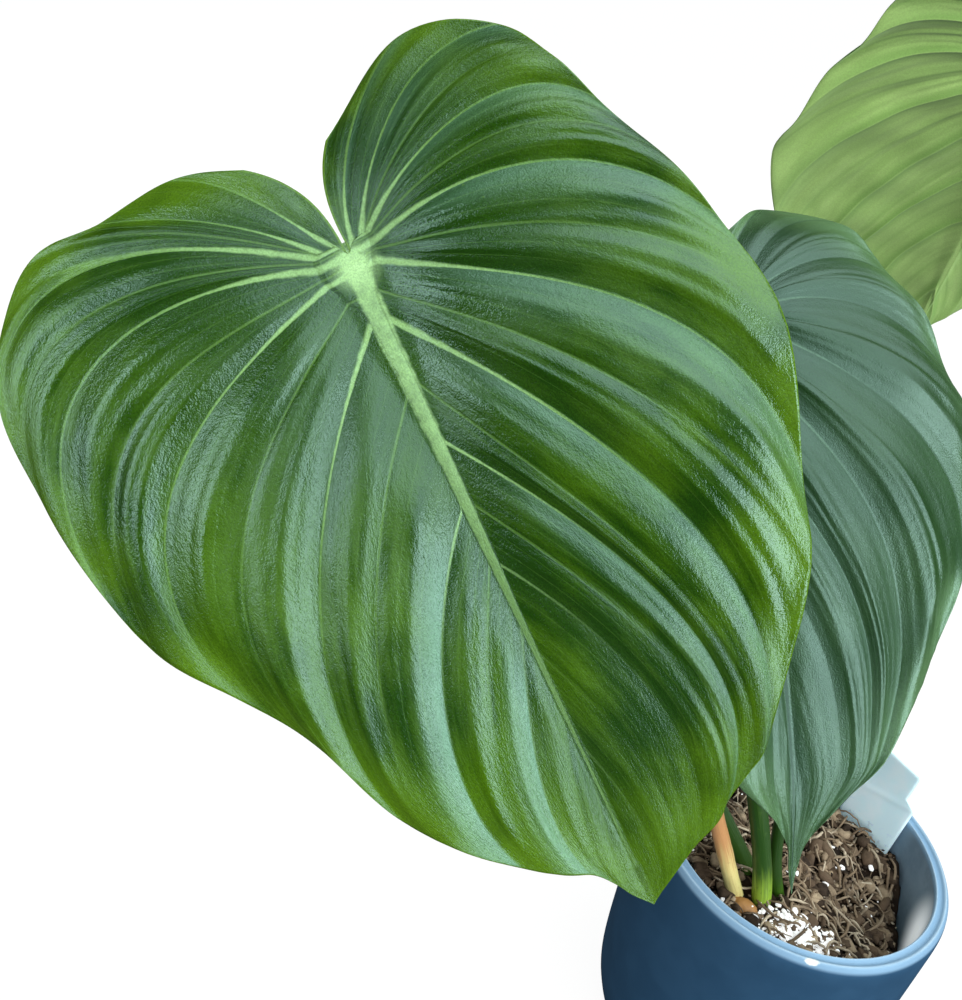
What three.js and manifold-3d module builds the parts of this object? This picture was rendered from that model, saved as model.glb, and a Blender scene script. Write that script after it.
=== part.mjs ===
import * as THREE from 'three';
import { mergeVertices } from 'three/addons/utils/BufferGeometryUtils.js';
import Module from 'manifold-3d';

// Potted philodendron with three big heart-shaped leaves, an old bare leaf stalk,
// a round pot filled with bark mix and a blank plant label. Millimetres, +Z up,
// origin at the middle of the pot's underside.

const wasm = await Module();
wasm.setup();
const { Manifold, Mesh } = wasm;

// Pot
const POT_HEIGHT = 138;
const POT_RIM_RADIUS = 65;
const POT_BELLY_RADIUS = 66.2;
const POT_FOOT_RADIUS = 50;
const POT_MOUTH_RADIUS = 59.5;
const POT_FLOOR_RADIUS = 49;
const POT_FLOOR = 5;
const POT_LIP_DEPTH = 6;
const POT_WALL_CURVE = 0.45;
const POT_SIDES = 48;

// Soil
const SOIL_GAP = 0.3;
const SOIL_LEVEL = 113;
const SOIL_EDGE_LEVEL = 100;
const SOIL_WALL_LEVELS = [90, 60, 28, 12];
const SOIL_SIDES = 40;
const SOIL_RINGS = 8;
const CHIP_COUNT = 44;
const CHIP_AREA_RADIUS = 50;
const CHIP_TILT = 0.7;
const CHIP_PROUD = 0.6;

// Leaf stalks
const STALK_SIDES = 10;
const STALK_SWELLING = 0.5;
const STALK_STEPS = 22;
const HOLE_GAP = 0.4;
const HOLE_LENGTH = 30;
const SEAT_GAP = 0.3;
const SLANT_SHARE = 0.6;

// Leaf blades
const BLADE_LENGTH = 187;
const BLADE_THICKNESS = 0.9;
const RIB_THICKNESS = 2.0;
const RIB_REACH = 0.14;
const CREST_SKEW = 1.5;
const LONE_SHARE = 0.35;
const CALM_TIP = [0.3, 0.75];
const HUB_WIDTH = 14;
const FOLD_REACH = 40;
const DROOP_REACH = 100;
const LOBE_BEND = 0.6;
const LOBE_REACH = 50;
const RIPPLE_LENGTH = 9;
const COLUMNS = 8;
const ROW_STEPS = [0, 0.6];

// Label
const LABEL_WIDTH = 30;
const LABEL_HEIGHT = 42;
const LABEL_SHOULDER = 27;
const LABEL_STEP = 5.5;
const LABEL_THICKNESS = 1;
const LABEL_SLOT = 12;
const LABEL_POINT = 8;
const LABEL_BEVEL = 1.5;
const SLOT_GAP = 0.3;

// One line for each vein of a half blade, from the notch at the stalk to the tip.
// kind: main vein, side vein or edge. Then the curve's four control points: distance
// from the hub towards the tip and distance from the midrib, in millimetres.
const RIGHT_VEINS = [
  ['edge', [-4, 0.4], [-13, -0.2], [-24, -1], [-35, 7]],
  ['main', [-6, 2], [-20, 4], [-38, 13], [-52, 36]],
  ['main', [-7, 5], [-22, 13], [-50, 36], [-42, 63]],
  ['side', [-7, 6], [-21, 18], [-43, 50], [-27, 70.5]],
  ['main', [-7, 7], [-20, 24], [-35, 60], [-11, 76.5]],
  ['side', [-6, 8], [-15, 30], [-22, 66], [8.5, 85.5]],
  ['main', [-4, 8], [-10, 34], [-8, 72], [29, 92]],
  ['side', [-2, 7], [5, 30], [12, 72], [54, 97]],
  ['main', [1, 6], [20, 36], [45, 92], [99, 84]],
  ['side', [8, 3], [32, 30], [70, 74], [122, 74]],
  ['main', [16, 2], [55, 34], [112, 75], [156, 47]],
  ['side', [34, 2], [75, 24], [130, 64], [162, 39]],
  ['main', [51, 2], [85, 27], [135, 60], [167, 31]],
  ['side', [69, 2], [100, 22], [145, 50], [171, 26]],
  ['main', [86, 1.5], [112, 20], [150, 36], [175, 18]],
  ['side', [112, 1], [135, 12], [162, 20], [180, 10]],
  ['main', [140, 1], [155, 6], [172, 9], [184, 4]],
  ['edge', [175, 0.6], [179, 0.9], [183, 0.7], [187, 0]],
];
const LEFT_VEINS = [
  ['edge', [-4, 0.5], [-14, 0.8], [-27, 2.5], [-36, 16.5]],
  ['main', [-7, 3], [-18, 12], [-36, 20], [-42.5, 37]],
  ['main', [-7, 7], [-18, 18], [-31, 34], [-38, 58]],
  ['side', [-7, 8], [-22, 30], [-39, 56], [-37, 81]],
  ['main', [-6, 9], [-28, 46], [-42, 84], [-5, 101]],
  ['side', [-5, 10], [-18, 46], [-30, 98], [22, 102]],
  ['main', [-3, 10], [-12, 40], [-20, 104], [52, 97]],
  ['side', [0, 10], [6, 44], [2, 92], [68, 92]],
  ['main', [2, 9], [14, 42], [30, 96], [88, 77]],
  ['side', [8, 6], [28, 32], [55, 82], [110, 62]],
  ['main', [16, 3], [45, 31], [90, 66], [135, 52]],
  ['side', [36, 2], [70, 30], [115, 56], [148, 41]],
  ['main', [69, 2], [90, 21], [130, 42], [161, 28]],
  ['side', [85, 1.5], [110, 15], [140, 30], [167, 19]],
  ['main', [104, 1], [125, 9], [150, 20], [171, 12]],
  ['side', [130, 1], [148, 6], [165, 11], [177, 7]],
  ['main', [150, 0.8], [163, 4], [175, 6], [182, 4]],
  ['edge', [175, 0.6], [179, 0.9], [183, 0.7], [187, 0]],
];

// The three leaves: where the hub sits, where the tip points and where the upper
// face looks. taper narrows the blade towards the tip from the share taperFrom of its
// length on, point narrows the last stretch, and hook turns the tip sideways. fold lifts
// the halves, arch and droop lower the tip and the edges, and wave is the height of the
// ripples along the edge. swell is the height of the swelling between two main veins, and
// pleat that of each part beside a side vein, both as a share of the width between the
// veins.
const LEAVES = {
  leaf_front: {
    hub: [-220, -43, 367], tip: [0.603, -0.421, -0.677], face: [-0.018, -0.856, 0.517],
    length: 1.124, width: 1.082, taper: 0, taperFrom: 0, point: 0, hook: 0,
    fold: 0.3, arch: 16, droop: 6, wave: 1.5, phase: 0.2, swell: 0.1, pleat: 0.2,
    colour: 0x3f7a2c, roughness: 0.42,
  },
  leaf_middle: {
    hub: [-98, 16, 356], tip: [0.334, -0.67, -0.663], face: [0.262, -0.61, 0.748],
    length: 1.02, width: 0.96, taper: 0.43, taperFrom: 0.25, point: 0.7, hook: -2.5,
    fold: 0.34, arch: 28, droop: 10, wave: 1.5, phase: 0.7, swell: 0.13, pleat: 0.07,
    colour: 0x3a6350, roughness: 0.45,
  },
  leaf_back: {
    hub: [25.5, 146.8, 443.3], tip: [0.167, 0.646, -0.745], face: [-0.083, 0.762, 0.642],
    length: 1.054, width: 1.04, taper: -0.15, taperFrom: 0, point: 0, hook: 0,
    fold: 0.34, arch: 14, droop: 8, wave: 2, phase: 0.4, swell: 0.1, pleat: 0.06,
    colour: 0x7fa557, roughness: 0.6,
  },
};

// The stalks: a curve from the hole in the soil up to the hub of each leaf. It leaves
// the soil towards lower and comes to the leaf straight at its back over the length reach.
const STALKS = {
  petiole_front: {
    leaf: 'leaf_front', foot: [-10, -9, 106], lower: [-62, 2, 185], reach: 75,
    footRadius: 4.2, topRadius: 3.4, colour: 0x3f6a2c,
  },
  petiole_middle: {
    leaf: 'leaf_middle', foot: [-11.5, -21, 106], lower: [-28, -32, 190], reach: 60,
    footRadius: 4.4, topRadius: 3.2, colour: 0x5f8f30,
  },
  petiole_back: {
    leaf: 'leaf_back', foot: [0, -18, 106], lower: [-72, -2, 232], reach: 150, bow: [74, 0, 0],
    footRadius: 2.8, topRadius: 2.8, colour: 0x35602a,
  },
};
const OLD_STALK = {
  foot: [-21, -22, 108], lower: [-31, -22, 128], upper: [-50, -21, 165], end: [-70, -17, 205],
  footRadius: 3.7, topRadius: 3.5, colour: 0xd0aa66,
};
// The stump is the short piece of old stem that the bare stalk grows from.
const STUMP = { from: [-28, -26, 116.5], to: [-17, -30.5, 116.5], radius: 4.6 };
const LABEL = { foot: [50.5, 18], along: [-0.566, 0.825], lean: 0.11, colour: 0xb9d2de };

const group = new THREE.Group();
group.name = 'potted_philodendron';

// A steady source of numbers between 0 and 1, the same on every run.
function seededNumbers(seed) {
  let state = seed;
  return () => {
    state = (state * 1664525 + 1013904223) % 4294967296;
    return state / 4294967296;
  };
}

function material(name, colour, roughness, metalness) {
  return new THREE.MeshStandardMaterial({ name, color: colour, roughness, metalness });
}

function add(name, geometry, look) {
  const mesh = new THREE.Mesh(geometry, look);
  mesh.name = name;
  group.add(mesh);
}

function geometryFrom(points, triangles) {
  const geometry = new THREE.BufferGeometry();
  geometry.setAttribute('position', new THREE.Float32BufferAttribute(points.flat(), 3));
  geometry.setIndex(triangles.flat());
  return geometry;
}

// Solid pieces for joining and cutting
function toManifold(geometry) {
  const bare = new THREE.BufferGeometry();
  bare.setAttribute('position', geometry.getAttribute('position'));
  if (geometry.index) bare.setIndex(geometry.index);
  const merged = mergeVertices(bare, 1e-4);
  return new Manifold(new Mesh({
    numProp: 3,
    vertProperties: new Float32Array(merged.getAttribute('position').array),
    triVerts: new Uint32Array(merged.index.array),
  }));
}

function fromManifold(body) {
  const mesh = body.getMesh();
  const geometry = new THREE.BufferGeometry();
  geometry.setAttribute('position', new THREE.Float32BufferAttribute(mesh.vertProperties, 3));
  geometry.setIndex(Array.from(mesh.triVerts));
  return geometry;
}

// Pot: one turned shell with a rounded foot and a grooved lip
function potInnerRadius(z) {
  const height = POT_HEIGHT - POT_LIP_DEPTH - POT_FLOOR;
  const part = Math.min(1, Math.max(0, (z - POT_FLOOR) / height));
  const widening = POT_MOUTH_RADIUS - POT_FLOOR_RADIUS;
  return POT_FLOOR_RADIUS + widening * Math.pow(part, POT_WALL_CURVE);
}

function makePot() {
  const outline = [
    [0, 0], [POT_FOOT_RADIUS - 2, 0], [POT_FOOT_RADIUS + 1.5, 1.2], [POT_FOOT_RADIUS + 6, 6],
    [POT_FOOT_RADIUS + 10, 15], [POT_FOOT_RADIUS + 13.2, 29], [65.2, 58], [65.9, 88],
    [POT_BELLY_RADIUS, 118], [POT_BELLY_RADIUS, 131], [POT_RIM_RADIUS + 0.6, 135.6],
    [POT_RIM_RADIUS - 0.6, POT_HEIGHT - 0.4], [POT_RIM_RADIUS - 1.6, POT_HEIGHT],
    [POT_RIM_RADIUS - 2.6, POT_HEIGHT - 0.7], [POT_RIM_RADIUS - 4.0, POT_HEIGHT - 0.7],
    [POT_MOUTH_RADIUS + 0.6, POT_HEIGHT - 0.2], [POT_MOUTH_RADIUS, POT_HEIGHT - 1.4],
    ...[POT_HEIGHT - POT_LIP_DEPTH, 100, 60, 28, 12].map((z) => [potInnerRadius(z), z]),
    [POT_FLOOR_RADIUS, POT_FLOOR], [0, POT_FLOOR],
  ].map(([r, z]) => new THREE.Vector2(r, z));
  const shell = new THREE.LatheGeometry(outline, POT_SIDES);
  shell.rotateX(Math.PI / 2);
  const body = toManifold(shell);
  add('pot', fromManifold(body), material('pot_matte_blue', 0x2f5277, 0.5, 0));
}

// Stalks: round tapering tubes along a curve, closed at both ends
function tubeAlong(curve, radiusAt, steps, sides, from = 0, to = 1) {
  const points = [];
  const triangles = [];
  for (let i = 0; i <= steps; i++) {
    const t = from + (to - from) * i / steps;
    const centre = curve.getPoint(t);
    const ahead = curve.getTangent(t);
    const side = new THREE.Vector3(0, 1, 0).cross(ahead).normalize();
    const front = ahead.clone().cross(side);
    for (let k = 0; k < sides; k++) {
      const angle = 2 * Math.PI * k / sides;
      const p = centre.clone();
      p.addScaledVector(side, radiusAt(t) * Math.cos(angle));
      p.addScaledVector(front, radiusAt(t) * Math.sin(angle));
      points.push(p.toArray());
    }
  }
  for (let i = 0; i < steps; i++) {
    for (let k = 0; k < sides; k++) {
      const a = i * sides + k;
      const b = i * sides + (k + 1) % sides;
      triangles.push([a, b, b + sides], [a, b + sides, a + sides]);
    }
  }
  const first = points.push(curve.getPoint(from).toArray()) - 1;
  const last = points.push(curve.getPoint(to).toArray()) - 1;
  for (let k = 0; k < sides; k++) {
    const next = (k + 1) % sides;
    triangles.push([first, next, k]);
    triangles.push([last, steps * sides + k, steps * sides + next]);
  }
  return geometryFrom(points, triangles);
}

function leafFrame(leaf) {
  const hub = new THREE.Vector3(...leaf.hub);
  const tip = new THREE.Vector3(...leaf.tip).normalize();
  const face = new THREE.Vector3(...leaf.face);
  face.addScaledVector(tip, -face.dot(tip)).normalize();
  const right = face.clone().cross(tip);
  return { hub, tip, right, face };
}

function stalkCurve(stalk) {
  const foot = new THREE.Vector3(...stalk.foot);
  const lower = new THREE.Vector3(...stalk.lower);
  if (!stalk.leaf) {
    const upper = new THREE.Vector3(...stalk.upper);
    return new THREE.CubicBezierCurve3(foot, lower, upper, new THREE.Vector3(...stalk.end));
  }
  const { hub, face } = leafFrame(LEAVES[stalk.leaf]);
  const end = hub.addScaledVector(face, -(BLADE_THICKNESS + RIB_THICKNESS + SEAT_GAP));
  const upper = end.clone().addScaledVector(face, -stalk.reach);
  if (stalk.bow) upper.add(new THREE.Vector3(...stalk.bow));
  // A stalk that comes in slanting stays clear of the blade with its whole end face.
  const slant = end.clone().sub(upper).angleTo(face);
  const rise = (stalk.topRadius + STALK_SWELLING) * Math.sin(slant);
  end.addScaledVector(face, -SLANT_SHARE * rise);
  return new THREE.CubicBezierCurve3(foot, lower, upper, end);
}

function stalkRadius(stalk) {
  return (t) => {
    const base = stalk.footRadius + (stalk.topRadius - stalk.footRadius) * t;
    const swelling = stalk.leaf ? STALK_SWELLING * Math.exp(-Math.pow((1 - t) / 0.05, 2)) : 0;
    return base + swelling;
  };
}

// Blades
function spline(values, places, at) {
  const last = places.length - 1;
  let k = 0;
  while (k < last - 1 && at >= places[k + 1]) k++;
  const slope = (i) => {
    const before = i > 0 ? (values[i] - values[i - 1]) / (places[i] - places[i - 1]) : null;
    const after = i < last ? (values[i + 1] - values[i]) / (places[i + 1] - places[i]) : null;
    if (before === null) return after;
    if (after === null) return before;
    const left = places[i] - places[i - 1];
    const right = places[i + 1] - places[i];
    return (before * right + after * left) / (left + right);
  };
  const span = places[k + 1] - places[k];
  const t = (at - places[k]) / span;
  const h00 = 2 * t ** 3 - 3 * t ** 2 + 1;
  const h10 = t ** 3 - 2 * t ** 2 + t;
  const h01 = 3 * t ** 2 - 2 * t ** 3;
  const h11 = t ** 3 - t ** 2;
  return h00 * values[k] + h10 * span * slope(k) + h01 * values[k + 1] + h11 * span * slope(k + 1);
}

function bezier(points, s) {
  const r = 1 - s;
  const weights = [r * r * r, 3 * s * r * r, 3 * s * s * r, s * s * s];
  return [0, 1].map((axis) => weights.reduce((sum, w, i) => sum + w * points[i][axis], 0));
}

function bezierDirection(points, s) {
  const a = bezier(points, Math.max(0, s - 0.01));
  const b = bezier(points, Math.min(1, s + 0.01));
  const length = Math.hypot(b[0] - a[0], b[1] - a[1]) || 1;
  return [(b[0] - a[0]) / length, (b[1] - a[1]) / length];
}

// Lays out one half: places[] sets how far apart the veins are for the smooth curves
// between them, and row(q) gives the four control points at any place q.
function halfBlade(veins) {
  const places = [0];
  for (let i = 1; i < veins.length; i++) {
    const a = veins[i - 1];
    const b = veins[i];
    const apart = (k) => Math.hypot(b[k][0] - a[k][0], b[k][1] - a[k][1]);
    places.push(places[i - 1] + Math.sqrt(0.5 * apart(4) + 0.5 * apart(3)));
  }
  const row = (q) => [1, 2, 3, 4].map((k) => [0, 1].map((axis) => (
    spline(veins.map((vein) => vein[k][axis]), places, q))));
  const mains = veins.map((vein, i) => (vein[0] === 'side' ? -1 : i)).filter((i) => i >= 0);
  return { veins, places, row, mains };
}

const smooth = (x) => {
  const t = Math.min(1, Math.max(0, x));
  return t * t * (3 - 2 * t);
};

// How far a swelling has risen at a share x of the way from one vein to the next. Its
// crest lies nearer to the vein on the tip's side.
function rising(x, power) {
  const part = Math.pow(Math.min(1, Math.max(0, x)), CREST_SKEW);
  return Math.pow(Math.sin(Math.PI * part), power);
}

// Height of the blade between two main veins: a wide swelling with a pleat on each side
// of the side vein. The veins near the tip are calmer.
function veinSwelling(leaf, side, half, q, s) {
  let k = 0;
  while (k < half.mains.length - 2 && q >= half.places[half.mains[k + 1]]) k++;
  const before = half.mains[k];
  const after = half.mains[k + 1];
  const x = (q - half.places[before]) / (half.places[after] - half.places[before]);
  let vein = before;
  while (vein < after - 1 && q >= half.places[vein + 1]) vein++;
  const step = half.places[vein + 1] - half.places[vein];
  const share = step / (half.places[after] - half.places[before]);
  const t = (q - half.places[vein]) / step;

  const a = bezier(half.veins[before].slice(1), s);
  const b = bezier(half.veins[after].slice(1), s);
  const row = half.row(q);
  const direction = bezierDirection(row, s);
  const gap = Math.abs(direction[0] * (b[1] - a[1]) - direction[1] * (b[0] - a[0]));
  const swell = leaf.swell + (share === 1 ? LONE_SHARE * leaf.pleat : 0);
  const pleat = share === 1 ? 0 : leaf.pleat * share;
  const relief = swell * rising(x, 0.7) + pleat * rising(t, 0.8);
  const calm = 1 - CALM_TIP[side] * smooth((row[0][0] - 60) / 40);
  const fade = smooth(s / 0.2) * (1 - 0.7 * smooth((s - 0.8) / 0.2));
  return gap * relief * calm * fade;
}

// The blade is flat across the hub and folds closer to the midrib further down.
function bladeHeight(leaf, u, v) {
  const flat = HUB_WIDTH / 2 * (1 - 0.8 * smooth((u - 12) / 60));
  const away = Math.max(0, Math.abs(v) - flat);
  const lift = leaf.fold * FOLD_REACH * (1 - Math.exp(-away / FOLD_REACH));
  const edges = leaf.droop * Math.pow(away / DROOP_REACH, 2);
  const towardsTip = Math.pow(u / (BLADE_LENGTH * leaf.length), 2);
  const towardsLobes = LOBE_BEND * Math.pow(u / LOBE_REACH, 2);
  return lift - edges - leaf.arch * (u > 0 ? towardsTip : towardsLobes);
}

function makeLeaf(name, leaf) {
  const { hub, tip, right, face } = leafFrame(leaf);
  const halves = [halfBlade(LEFT_VEINS), halfBlade(RIGHT_VEINS)];
  const rows = (LEFT_VEINS.length - 1) * ROW_STEPS.length;
  const columns = 2 * COLUMNS + 2;

  const placesOf = (half) => Array.from({ length: rows + 1 }, (_, j) => {
    const k = Math.min(half.places.length - 2, Math.floor(j / ROW_STEPS.length));
    const part = j < rows ? ROW_STEPS[j - k * ROW_STEPS.length] : 1;
    return half.places[k] + part * (half.places[k + 1] - half.places[k]);
  });
  const stations = halves.map(placesOf);

  const upper = [];
  const lower = [];
  for (let j = 0; j <= rows; j++) {
    for (let c = 0; c < columns; c++) {
      const side = c <= COLUMNS ? 0 : 1;
      const s = side === 0 ? (COLUMNS - c) / COLUMNS : (c - COLUMNS - 1) / COLUMNS;
      const half = halves[side];
      const q = stations[side][j];
      const flat = bezier(half.row(q), s);
      const along = Math.min(1, Math.max(0, flat[0] / BLADE_LENGTH));
      const u = flat[0] * leaf.length;
      const tapered = 1 - leaf.taper * smooth((along - leaf.taperFrom) / (1 - leaf.taperFrom));
      const pointed = 1 - leaf.point * smooth((along - 0.8) / 0.15);
      const outwards = side === 0 ? -1 : 1;
      const turned = leaf.hook * smooth((along - 0.82) / 0.18);
      const v = flat[1] * outwards * leaf.width * tapered * pointed + turned;
      const ripple = 2 * Math.PI * (q / RIPPLE_LENGTH + leaf.phase + 0.3 * side);
      const calm = 1 - smooth((along - 0.8) / 0.2);
      const flutter = leaf.wave * Math.pow(s, 4) * Math.sin(ripple) * calm;
      const swelling = veinSwelling(leaf, side, half, q, s);
      const w = bladeHeight(leaf, u, v - turned) + swelling + flutter;
      const rib = RIB_THICKNESS * (1 - 0.8 * along) * (1 - smooth(s / RIB_REACH));
      const p = hub.clone().addScaledVector(tip, u);
      p.addScaledVector(right, v).addScaledVector(face, w);
      upper.push(p.toArray());
      lower.push(p.addScaledVector(face, -(BLADE_THICKNESS + rib)).toArray());
    }
  }

  const points = [...upper, ...lower];
  const below = upper.length;
  const tipLeft = rows * columns;
  const tipRight = rows * columns + columns - 1;
  const index = (j, c) => {
    const i = j * columns + c;
    return i === tipLeft ? tipRight : i;
  };
  const triangles = [];
  const patch = (a, b, c) => {
    if (a === b || b === c || c === a) return;
    triangles.push([a, b, c], [a + below, c + below, b + below]);
  };
  for (let j = 0; j < rows; j++) {
    for (let c = 0; c < columns - 1; c++) {
      patch(index(j, c), index(j + 1, c), index(j + 1, c + 1));
      patch(index(j, c), index(j + 1, c + 1), index(j, c + 1));
    }
  }
  for (let k = 0; k < COLUMNS; k++) {
    const l0 = index(rows, COLUMNS - k);
    const l1 = index(rows, COLUMNS - k - 1);
    const r0 = index(rows, COLUMNS + 1 + k);
    const r1 = index(rows, COLUMNS + 2 + k);
    patch(l0, l1, r1);
    patch(l0, r1, r0);
  }

  const rim = [];
  for (let j = 0; j <= rows; j++) rim.push(index(j, 0));
  for (let j = rows - 1; j >= 0; j--) rim.push(index(j, columns - 1));
  for (let c = columns - 2; c > 0; c--) rim.push(index(0, c));
  rim.forEach((a, i) => {
    const b = rim[(i + 1) % rim.length];
    triangles.push([a, a + below, b + below], [a, b + below, b]);
  });

  const body = toManifold(geometryFrom(points, triangles));
  add(name, fromManifold(body), material(`${name}_green`, leaf.colour, leaf.roughness, 0));
}

// Soil: a filled body with an uneven top, bark chips grown onto it and plain holes
function soilHeight(x, y) {
  const mound = 7 * Math.exp(-((x + 12) ** 2 + (y + 14) ** 2) / 1500);
  const dip = Math.max(0, x / 58) * (-3 + 11 * Math.tanh((y - 4) / 9));
  const lumps = 0.9 * Math.sin(x / 5.3 + 1.1) * Math.cos(y / 4.7) + 0.6 * Math.sin((x + y) / 3.1);
  return SOIL_LEVEL + mound + dip + lumps;
}

function makeSoilBody() {
  const points = [[0, 0, soilHeight(0, 0)]];
  const triangles = [];
  const ringStart = [0];
  const addRing = (r, heightAt) => {
    ringStart.push(points.length);
    for (let k = 0; k < SOIL_SIDES; k++) {
      const angle = 2 * Math.PI * k / SOIL_SIDES;
      const x = r * Math.cos(angle);
      const y = r * Math.sin(angle);
      points.push([x, y, heightAt(x, y)]);
    }
  };
  // The flats of the turned soil stay clear of the flats of the pot.
  const clear = 1 / Math.cos(Math.PI / POT_SIDES);
  const wall = (z) => potInnerRadius(z) / clear - SOIL_GAP - 0.5;
  for (let i = 1; i <= SOIL_RINGS; i++) {
    const part = i / SOIL_RINGS;
    addRing(wall(SOIL_EDGE_LEVEL) * part, soilHeight);
  }
  for (const z of SOIL_WALL_LEVELS) addRing(wall(z), () => z);
  addRing(POT_FLOOR_RADIUS - 1.5, () => POT_FLOOR + SOIL_GAP);
  const rings = ringStart.length - 1;
  for (let k = 0; k < SOIL_SIDES; k++) {
    const next = (k + 1) % SOIL_SIDES;
    triangles.push([0, ringStart[1] + k, ringStart[1] + next]);
    for (let i = 1; i < rings; i++) {
      const a = ringStart[i];
      const b = ringStart[i + 1];
      triangles.push([a + k, b + k, b + next], [a + k, b + next, a + next]);
    }
  }
  const bottom = points.push([0, 0, POT_FLOOR + SOIL_GAP]) - 1;
  for (let k = 0; k < SOIL_SIDES; k++) {
    const next = (k + 1) % SOIL_SIDES;
    triangles.push([bottom, ringStart[rings] + next, ringStart[rings] + k]);
  }
  return toManifold(geometryFrom(points, triangles));
}

// One bark chip: a small tapering block that sits half sunk on the soil.
function makeChip(random) {
  const r = CHIP_AREA_RADIUS * Math.sqrt(random());
  const angle = 2 * Math.PI * random();
  const x = r * Math.cos(angle);
  const y = r * Math.sin(angle);
  const chip = new THREE.BoxGeometry(5 + 7 * random(), 3 + 4 * random(), 2 + 2.5 * random());
  const corners = chip.getAttribute('position');
  for (let k = 0; k < corners.count; k++) {
    const taper = corners.getX(k) > 0 ? 0.6 : 1;
    corners.setY(k, corners.getY(k) * taper);
  }
  const tiltX = CHIP_TILT * (random() - 0.5);
  const tiltY = CHIP_TILT * (random() - 0.5);
  const turned = new THREE.Euler(tiltX, tiltY, Math.PI * random());
  const seat = new THREE.Matrix4().makeRotationFromEuler(turned);
  seat.setPosition(x, y, soilHeight(x, y) + CHIP_PROUD);
  chip.applyMatrix4(seat);
  return toManifold(chip);
}

// The hole that a stalk stands in: the stalk's own foot, a little wider and deeper.
function makeHole(stalk) {
  const curve = stalkCurve(stalk);
  const radius = stalkRadius(stalk);
  const wider = (t) => radius(t) + HOLE_GAP;
  const top = HOLE_LENGTH / curve.getLength();
  const hole = tubeAlong(curve, wider, 6, STALK_SIDES, 0, top);
  const seat = tubeAlong(curve, wider, 1, STALK_SIDES, 0, 0.002);
  const down = curve.getTangent(0).multiplyScalar(-SEAT_GAP);
  seat.translate(down.x, down.y, down.z);
  return Manifold.union([toManifold(hole), toManifold(seat)]);
}

function makeSoil() {
  const random = seededNumbers(41);
  const chips = Array.from({ length: CHIP_COUNT }, () => makeChip(random));
  const filled = Manifold.union([makeSoilBody(), ...chips]);
  const cutters = [...Object.values(STALKS), OLD_STALK].map(makeHole);
  cutters.push(makeStump(STUMP.radius + HOLE_GAP, HOLE_GAP));
  cutters.push(labelBody(LABEL_THICKNESS + 2 * SLOT_GAP, SLOT_GAP));
  const soil = filled.subtract(Manifold.union(cutters));
  // Only the outer skin is kept, so that no hollow stays closed between the chips.
  const bodies = soil.decompose();
  const outer = bodies.reduce((most, body) => (body.volume() > most.volume() ? body : most));
  add('soil', fromManifold(outer), material('bark_mix', 0x4a3628, 0.95, 0));
}

function makeStump(radius, longer) {
  const from = new THREE.Vector3(...STUMP.from);
  const to = new THREE.Vector3(...STUMP.to);
  const ahead = to.clone().sub(from).normalize();
  from.addScaledVector(ahead, -longer);
  to.addScaledVector(ahead, longer);
  const line = new THREE.LineCurve3(from, to);
  const rounded = (t) => radius * (0.72 + 0.28 * Math.sin(Math.PI * t));
  return toManifold(tubeAlong(line, rounded, 4, STALK_SIDES));
}

// Label: a thin blank plate with a pointed foot and a shoulder, pushed into the soil
function labelBody(thickness, margin) {
  const base = soilHeight(...LABEL.foot) - LABEL_SLOT;
  const left = -margin;
  const right = LABEL_WIDTH + margin;
  const top = LABEL_SLOT + LABEL_HEIGHT + margin;
  const shoulder = LABEL_SLOT + LABEL_SHOULDER;
  const outline = new THREE.Shape([
    [left + LABEL_POINT, -margin], [right - LABEL_POINT, -margin],
    [right, LABEL_SLOT - 2], [right, top],
    [left + LABEL_STEP + LABEL_BEVEL, top], [left + LABEL_STEP, shoulder + LABEL_BEVEL],
    [left, shoulder], [left, LABEL_SLOT - 2],
  ].map(([x, y]) => new THREE.Vector2(x, y)));
  const plate = new THREE.ExtrudeGeometry(outline, { depth: thickness, bevelEnabled: false });
  plate.translate(0, 0, -thickness / 2);
  const along = new THREE.Vector3(LABEL.along[0], LABEL.along[1], 0).normalize();
  const outward = new THREE.Vector3(along.y, -along.x, 0);
  const rise = new THREE.Vector3(0, 0, 1).addScaledVector(outward, LABEL.lean).normalize();
  const facing = along.clone().cross(rise);
  const seat = new THREE.Matrix4().makeBasis(along, rise, facing);
  seat.setPosition(LABEL.foot[0], LABEL.foot[1], base);
  plate.applyMatrix4(seat);
  return toManifold(plate);
}

function makeStalk(name, stalk) {
  const tube = tubeAlong(stalkCurve(stalk), stalkRadius(stalk), STALK_STEPS, STALK_SIDES);
  add(name, tube, material(`${name}_green`, stalk.colour, 0.5, 0));
}

function makeOldStalk() {
  const tube = tubeAlong(stalkCurve(OLD_STALK), stalkRadius(OLD_STALK), 12, STALK_SIDES);
  const joined = toManifold(tube).add(makeStump(STUMP.radius, 0));
  add('old_petiole', fromManifold(joined), material('dry_stalk', OLD_STALK.colour, 0.6, 0));
}

function makeLabel() {
  const plate = fromManifold(labelBody(LABEL_THICKNESS, 0));
  add('plant_label', plate, material('label_plastic', LABEL.colour, 0.35, 0));
}

makePot();
makeSoil();
for (const [name, stalk] of Object.entries(STALKS)) makeStalk(name, stalk);
makeOldStalk();
for (const [name, leaf] of Object.entries(LEAVES)) makeLeaf(name, leaf);
makeLabel();

export default group;
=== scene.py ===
import math
import random

import bpy
import numpy as np
from mathutils import Matrix, Vector, noise


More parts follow.
